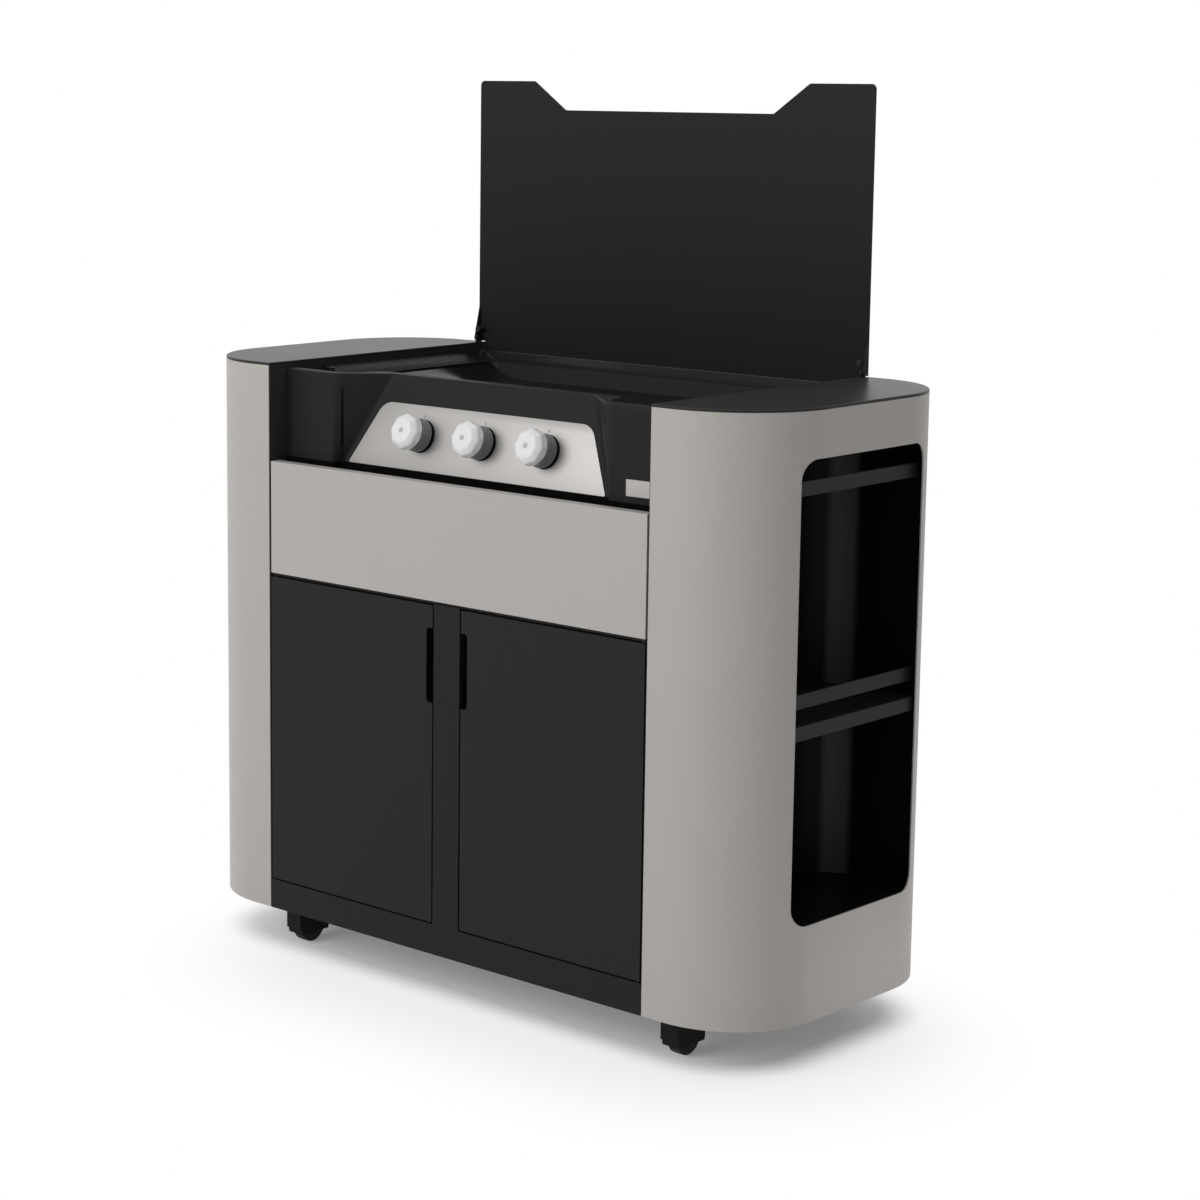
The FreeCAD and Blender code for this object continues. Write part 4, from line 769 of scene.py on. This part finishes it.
def sheet_plan(x, share):
    """Y of the part's own front sheet at a distance from its middle: two equal arcs."""
    half = between(SHEET_CONSOLE_HALF, share)
    console_y = between(CONSOLE_Y, share)
    run = CREST_HALF - half
    drop = console_y - CREST_Y
    radius = (run * run + drop * drop) / (4 * drop)
    middle = (half + CREST_HALF) / 2
    if x <= half:
        return console_y
    if x <= middle:
        return console_y - radius + math.sqrt(radius * radius - (x - half) ** 2)
    return wing_y(x, radius)


def wing_y(x, radius):
    """Y of the shoulder's outer arc and of the swept wing beyond it."""
    tangent = CREST_HALF + radius * math.sin(WING_SWEEP)
    if x <= tangent:
        return CREST_Y + radius - math.sqrt(radius * radius - (CREST_HALF - x) ** 2)
    start = CREST_Y + radius * (1 - math.cos(WING_SWEEP))
    return start + (x - tangent) * math.tan(WING_SWEEP)


def shoulder_plan(x, share):
    """Y of the shown front: a hollow arc, a straight ramp and the sheet's outer arc."""
    half = between(CONSOLE_HALF, share)
    console_y = between(CONSOLE_Y, share)
    hollow = between(HOLLOW_RADIUS, share)
    sheet_run = CREST_HALF - between(SHEET_CONSOLE_HALF, share)
    run = CREST_HALF - half
    drop = console_y - CREST_Y
    bulge = (sheet_run * sheet_run + drop * drop) / (4 * drop)
    both = hollow + bulge
    reach = math.hypot(run, both - drop)
    slope = math.atan2(run, both - drop) - math.acos(both / reach)
    if x <= half:
        return console_y
    if x <= half + hollow * math.sin(slope):
        return console_y - hollow + math.sqrt(hollow * hollow - (x - half) ** 2)
    ramp_end = CREST_HALF - bulge * math.sin(slope)
    if x <= ramp_end:
        foot = CREST_Y + bulge * (1 - math.cos(slope))
        return foot + (ramp_end - x) * math.tan(slope)
    return wing_y(x, bulge)


def front_columns(share):
    """Distances from the middle and groove depths of the front's columns, middle to end."""
    half = between(CONSOLE_HALF, share)
    seam = between(SEAM_HALF, share)
    inner = seam - SEAM_WIDTH - SEAM_EDGE
    outer = seam + SEAM_WIDTH + SEAM_EDGE
    crest = CREST_HALF + CREST_PAST
    columns = [(half * k / CONSOLE_COLUMNS, 0.0) for k in range(CONSOLE_COLUMNS)]
    for k in range(RAMP_COLUMNS + 1):
        columns.append((half + (inner - half) * k / RAMP_COLUMNS, 0.0))
    columns += [(seam - SEAM_WIDTH, SEAM_DEPTH), (seam + SEAM_WIDTH, SEAM_DEPTH)]
    for k in range(CREST_COLUMNS + 1):
        columns.append((outer + (crest - outer) * k / CREST_COLUMNS, 0.0))
    return columns + [(WING_MIDDLE, 0.0), (WING_END, 0.0)]


def front_rows():
    """Height, shift back, share of the groove and which plan, up the face and down the back."""
    rows = []
    bend_start = FRONT_RISE - RIM_BEND
    for k in range(FACE_ROWS + 1):
        rise = bend_start * k / FACE_ROWS
        groove = min(1.0, max(0.0, (SEAM_TOP - rise) / SEAM_FADE))
        rows.append((rise, 0.0, groove, shoulder_plan))
    for k in range(1, RIM_ROWS + 1):
        angle = math.pi / 2 * k / RIM_ROWS
        rise = bend_start + RIM_BEND * math.sin(angle)
        rows.append((rise, RIM_BEND * (1 - math.cos(angle)), 0.0, shoulder_plan))
    rows.append((FRONT_RISE, RIM_BEND + RIM_LIP, 0.0, sheet_plan))
    rows.append((FRONT_RISE - RIM_THICKNESS, RIM_BEND + RIM_LIP, 0.0, sheet_plan))
    rows.append((FRONT_RISE - RIM_THICKNESS, FRONT_SHEET, 0.0, shoulder_plan))
    rows.append((0.0, FRONT_SHEET, 0.0, shoulder_plan))
    return rows


def build_front():
    """Sculpted front sheet: wings, shoulders with a panel seam, sloping console, rolled rim."""
    vertices = []
    rows = front_rows()
    for rise, shift, groove, plan in rows:
        share = rise / FRONT_RISE
        half_row = []
        for x, depth in front_columns(share):
            half_row.append((x, plan(x, share) + shift + depth * groove, FRONT_FOOT + rise))
        vertices += [(-x, y, z) for x, y, z in reversed(half_row[1:])]
        vertices += half_row
    count = len(vertices) // len(rows)
    faces = []
    for row in range(len(rows)):
        low = row * count
        high = (row + 1) % len(rows) * count
        for k in range(count - 1):
            faces.append((low + k, low + k + 1, high + k + 1, high + k))
    left_end = [row * count for row in range(len(rows))]
    right_end = [row * count + count - 1 for row in range(len(rows))]
    faces += [tuple(left_end), tuple(reversed(right_end))]
    shown = mesh_piece("sculpted_front", heat_paint, "cabinet", vertices, faces, sharp=35)
    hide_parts("griddle_front")


def rounded_outline(corners, steps):
    """Points round a polygon whose corners (x, y, radius) are filleted, each in some steps."""
    points = []
    for k, (x, y, radius) in enumerate(corners):
        here = Vector((x, y))
        before = (Vector(corners[k - 1][:2]) - here).normalized()
        after = (Vector(corners[(k + 1) % len(corners)][:2]) - here).normalized()
        half = math.acos(max(-1.0, min(1.0, before.dot(after)))) / 2
        middle = here + (before + after).normalized() * radius / math.sin(half)
        start = here + before * radius / math.tan(half) - middle
        end = here + after * radius / math.tan(half) - middle
        sweep = start.angle_signed(end)
        for step in range(steps + 1):
            turned = Matrix.Rotation(-sweep * step / steps, 2) @ start
            points.append(middle + turned)
    return points


def build_control_plate():
    """Bright plate on the console: a trapezium with broad upper corners and eased edges."""
    foot, top = PLATE_HALF
    foot_radius, top_radius = PLATE_RADIUS
    corners = [
        (-foot, 0.0, foot_radius),
        (foot, 0.0, foot_radius),
        (top, PLATE_RISE, top_radius),
        (-top, PLATE_RISE, top_radius),
    ]
    outline = rounded_outline(corners, PLATE_CORNER_STEPS)
    vertices = []
    for lift, inset in PLATE_EDGE:
        for point in outline:
            along, rise = point + (PLATE_MIDDLE - point).normalized() * inset
            vertices.append(console_point(along, rise, lift))
    faces = ring_faces(len(outline), len(PLATE_EDGE))
    shown = mesh_piece("console_plate", satin_sheet, "cabinet", vertices, faces, sharp=50)
    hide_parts("control_plate")


def build_bezels():
    """Low black rings on the plate behind the knobs."""
    rings = []
    for along in KNOB_PLACES.values():
        rings.append(turned_mesh(console_point(along, KNOB_RISE, PLATE_FACE), RING_PROFILE))
    shown = mesh_piece("knob_rings", black_nylon, "cabinet", *joined(rings), sharp=40)
    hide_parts("knob_bezels")


def build_tray_ends():
    """Hollow slopes that ease the cooking tray's end walls into its floor."""
    low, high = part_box("cooktop")
    middle = (low + high) / 2
    wall_x = (high.x - low.x) / 2 - TRAY_WALL
    floor_z = high.z - TRAY_RIM - TRAY_DEPTH
    section = []
    for k in range(TRAY_STEPS + 1):
        share = k / TRAY_STEPS
        height = TRAY_DEPTH * (1 - share) ** TRAY_HOLLOW + TRAY_LIFT
        section.append((wall_x - TRAY_SLOPE * share, floor_z + height))
    section.append((wall_x, floor_z + TRAY_FOOT))
    ends = (low.y + TRAY_WALL, high.y - TRAY_WALL)
    meshes = []
    for side in (-1, 1):
        vertices = [(middle.x + side * x, y, z) for y in ends for x, z in section]
        faces = ring_faces(len(section), len(ends))
        meshes.append((vertices, [face if side < 0 else tuple(reversed(face)) for face in faces]))
    shown = mesh_piece("tray_ends", tray_enamel, "cabinet", *joined(meshes), sharp=40)


def build_floor():
    """Plain white floor: it takes the soft shadow near the station and fades to white."""
    mesh = bpy.data.meshes.new("floor")
    corners = [(-1, -1), (1, -1), (1, 1), (-1, 1)]
    points = [(x * FLOOR_REACH, y * FLOOR_REACH, 0) for x, y in corners]
    mesh.from_pydata(points, [], [(0, 1, 2, 3)])
    floor = bpy.data.objects.new("floor", mesh)
    bpy.context.scene.collection.objects.link(floor)
    finish = Finish("white_floor")
    past_core = finish.risen(finish.plan_distance(CORE_SHADOW) - END_ROUND, *CORE_FADE)
    past_wide = finish.risen(finish.plan_distance(WIDE_SHADOW), *WIDE_FADE)
    away = WHITE_UNDER + past_core * WHITE_PAST_CORE + past_wide * WHITE_PAST_WIDE
    dark, light = FLOOR_GREYS
    colour = finish.mixed(grey(dark), grey(light), finish.cloud(FLOOR_PATCH))
    matt = finish.node("ShaderNodeBsdfDiffuse", {}, {"Color": colour, "Roughness": 0.0})
    white = finish.node("ShaderNodeEmission", {}, {"Color": grey(1.0), "Strength": 1.0})
    both = finish.node("ShaderNodeMixShader", {}, {0: away * finish.seen(), 1: matt, 2: white})
    finish.node("ShaderNodeOutputMaterial", {}, {"Surface": both})
    coat(floor, finish.owner)


def build_world():
    """Even white surroundings for the eye and for reflections, softer for lighting."""
    sky = Finish("studio", bpy.data.worlds)
    bpy.context.scene.world = sky.owner
    soft = sky.node("ShaderNodeBackground", {}, {"Color": grey(1.0), "Strength": ROOM_LIGHT})
    bright = sky.node("ShaderNodeBackground", {}, {"Color": grey(1.0), "Strength": 1.0})
    both = sky.node("ShaderNodeMixShader", {}, {0: sky.seen(), 1: soft, 2: bright})
    sky.node("ShaderNodeOutputWorld", {}, {"Surface": both})


def soft_lamp(name, place, target, width, height, power, shown):
    """Rectangular lamp that faces a target, shown to the eye and in reflections or not."""
    lamp = bpy.data.lights.new(name, "AREA")
    lamp.shape = "RECTANGLE"
    lamp.size = width
    lamp.size_y = height
    lamp.energy = power
    held = bpy.data.objects.new(name, lamp)
    bpy.context.scene.collection.objects.link(held)
    held.location = place
    held.rotation_euler = (Vector(target) - Vector(place)).to_track_quat("-Z", "Y").to_euler()
    held.visible_camera = shown
    held.visible_glossy = shown


def build_camera():
    """Camera at the photograph's viewing angle, with its shifted centre and slight roll."""
    azimuth = math.radians(CAMERA_AZIMUTH)
    elevation = math.radians(CAMERA_ELEVATION)
    roll = math.radians(CAMERA_ROLL)
    back = Vector(
        (
            math.sin(azimuth) * math.cos(elevation),
            -math.cos(azimuth) * math.cos(elevation),
            math.sin(elevation),
        )
    )
    level = (-back).cross(Vector((0, 0, 1))).normalized()
    upright = level.cross(-back)
    right = level * math.cos(roll) + upright * math.sin(roll)
    up = upright * math.cos(roll) - level * math.sin(roll)
    data = bpy.data.cameras.new("camera")
    data.sensor_fit = "HORIZONTAL"
    data.sensor_width = SENSOR
    data.lens = FOCAL_PIXELS / PICTURE_SIDE * SENSOR
    data.shift_x = (PICTURE_SIDE / 2 - CENTRE_X) / PICTURE_SIDE
    data.shift_y = (CENTRE_Y - PICTURE_SIDE / 2) / PICTURE_SIDE
    data.clip_end = CAMERA_REACH
    camera = bpy.data.objects.new("camera", data)
    bpy.context.scene.collection.objects.link(camera)
    turned = Matrix((right, up, back)).transposed().to_4x4()
    camera.matrix_world = Matrix.Translation(CAMERA_PLACE) @ turned
    bpy.context.scene.camera = camera


for side in KNOB_PLACES:
    dress_knob(side)
build_tick_marks()
build_tray_ends()
build_front()
build_control_plate()
build_bezels()
build_floor()
build_world()
for lamp in LAMPS:
    soft_lamp(*lamp)
build_camera()
bpy.context.scene.view_settings.view_transform = "Standard"

bpy.context.view_layer.update()
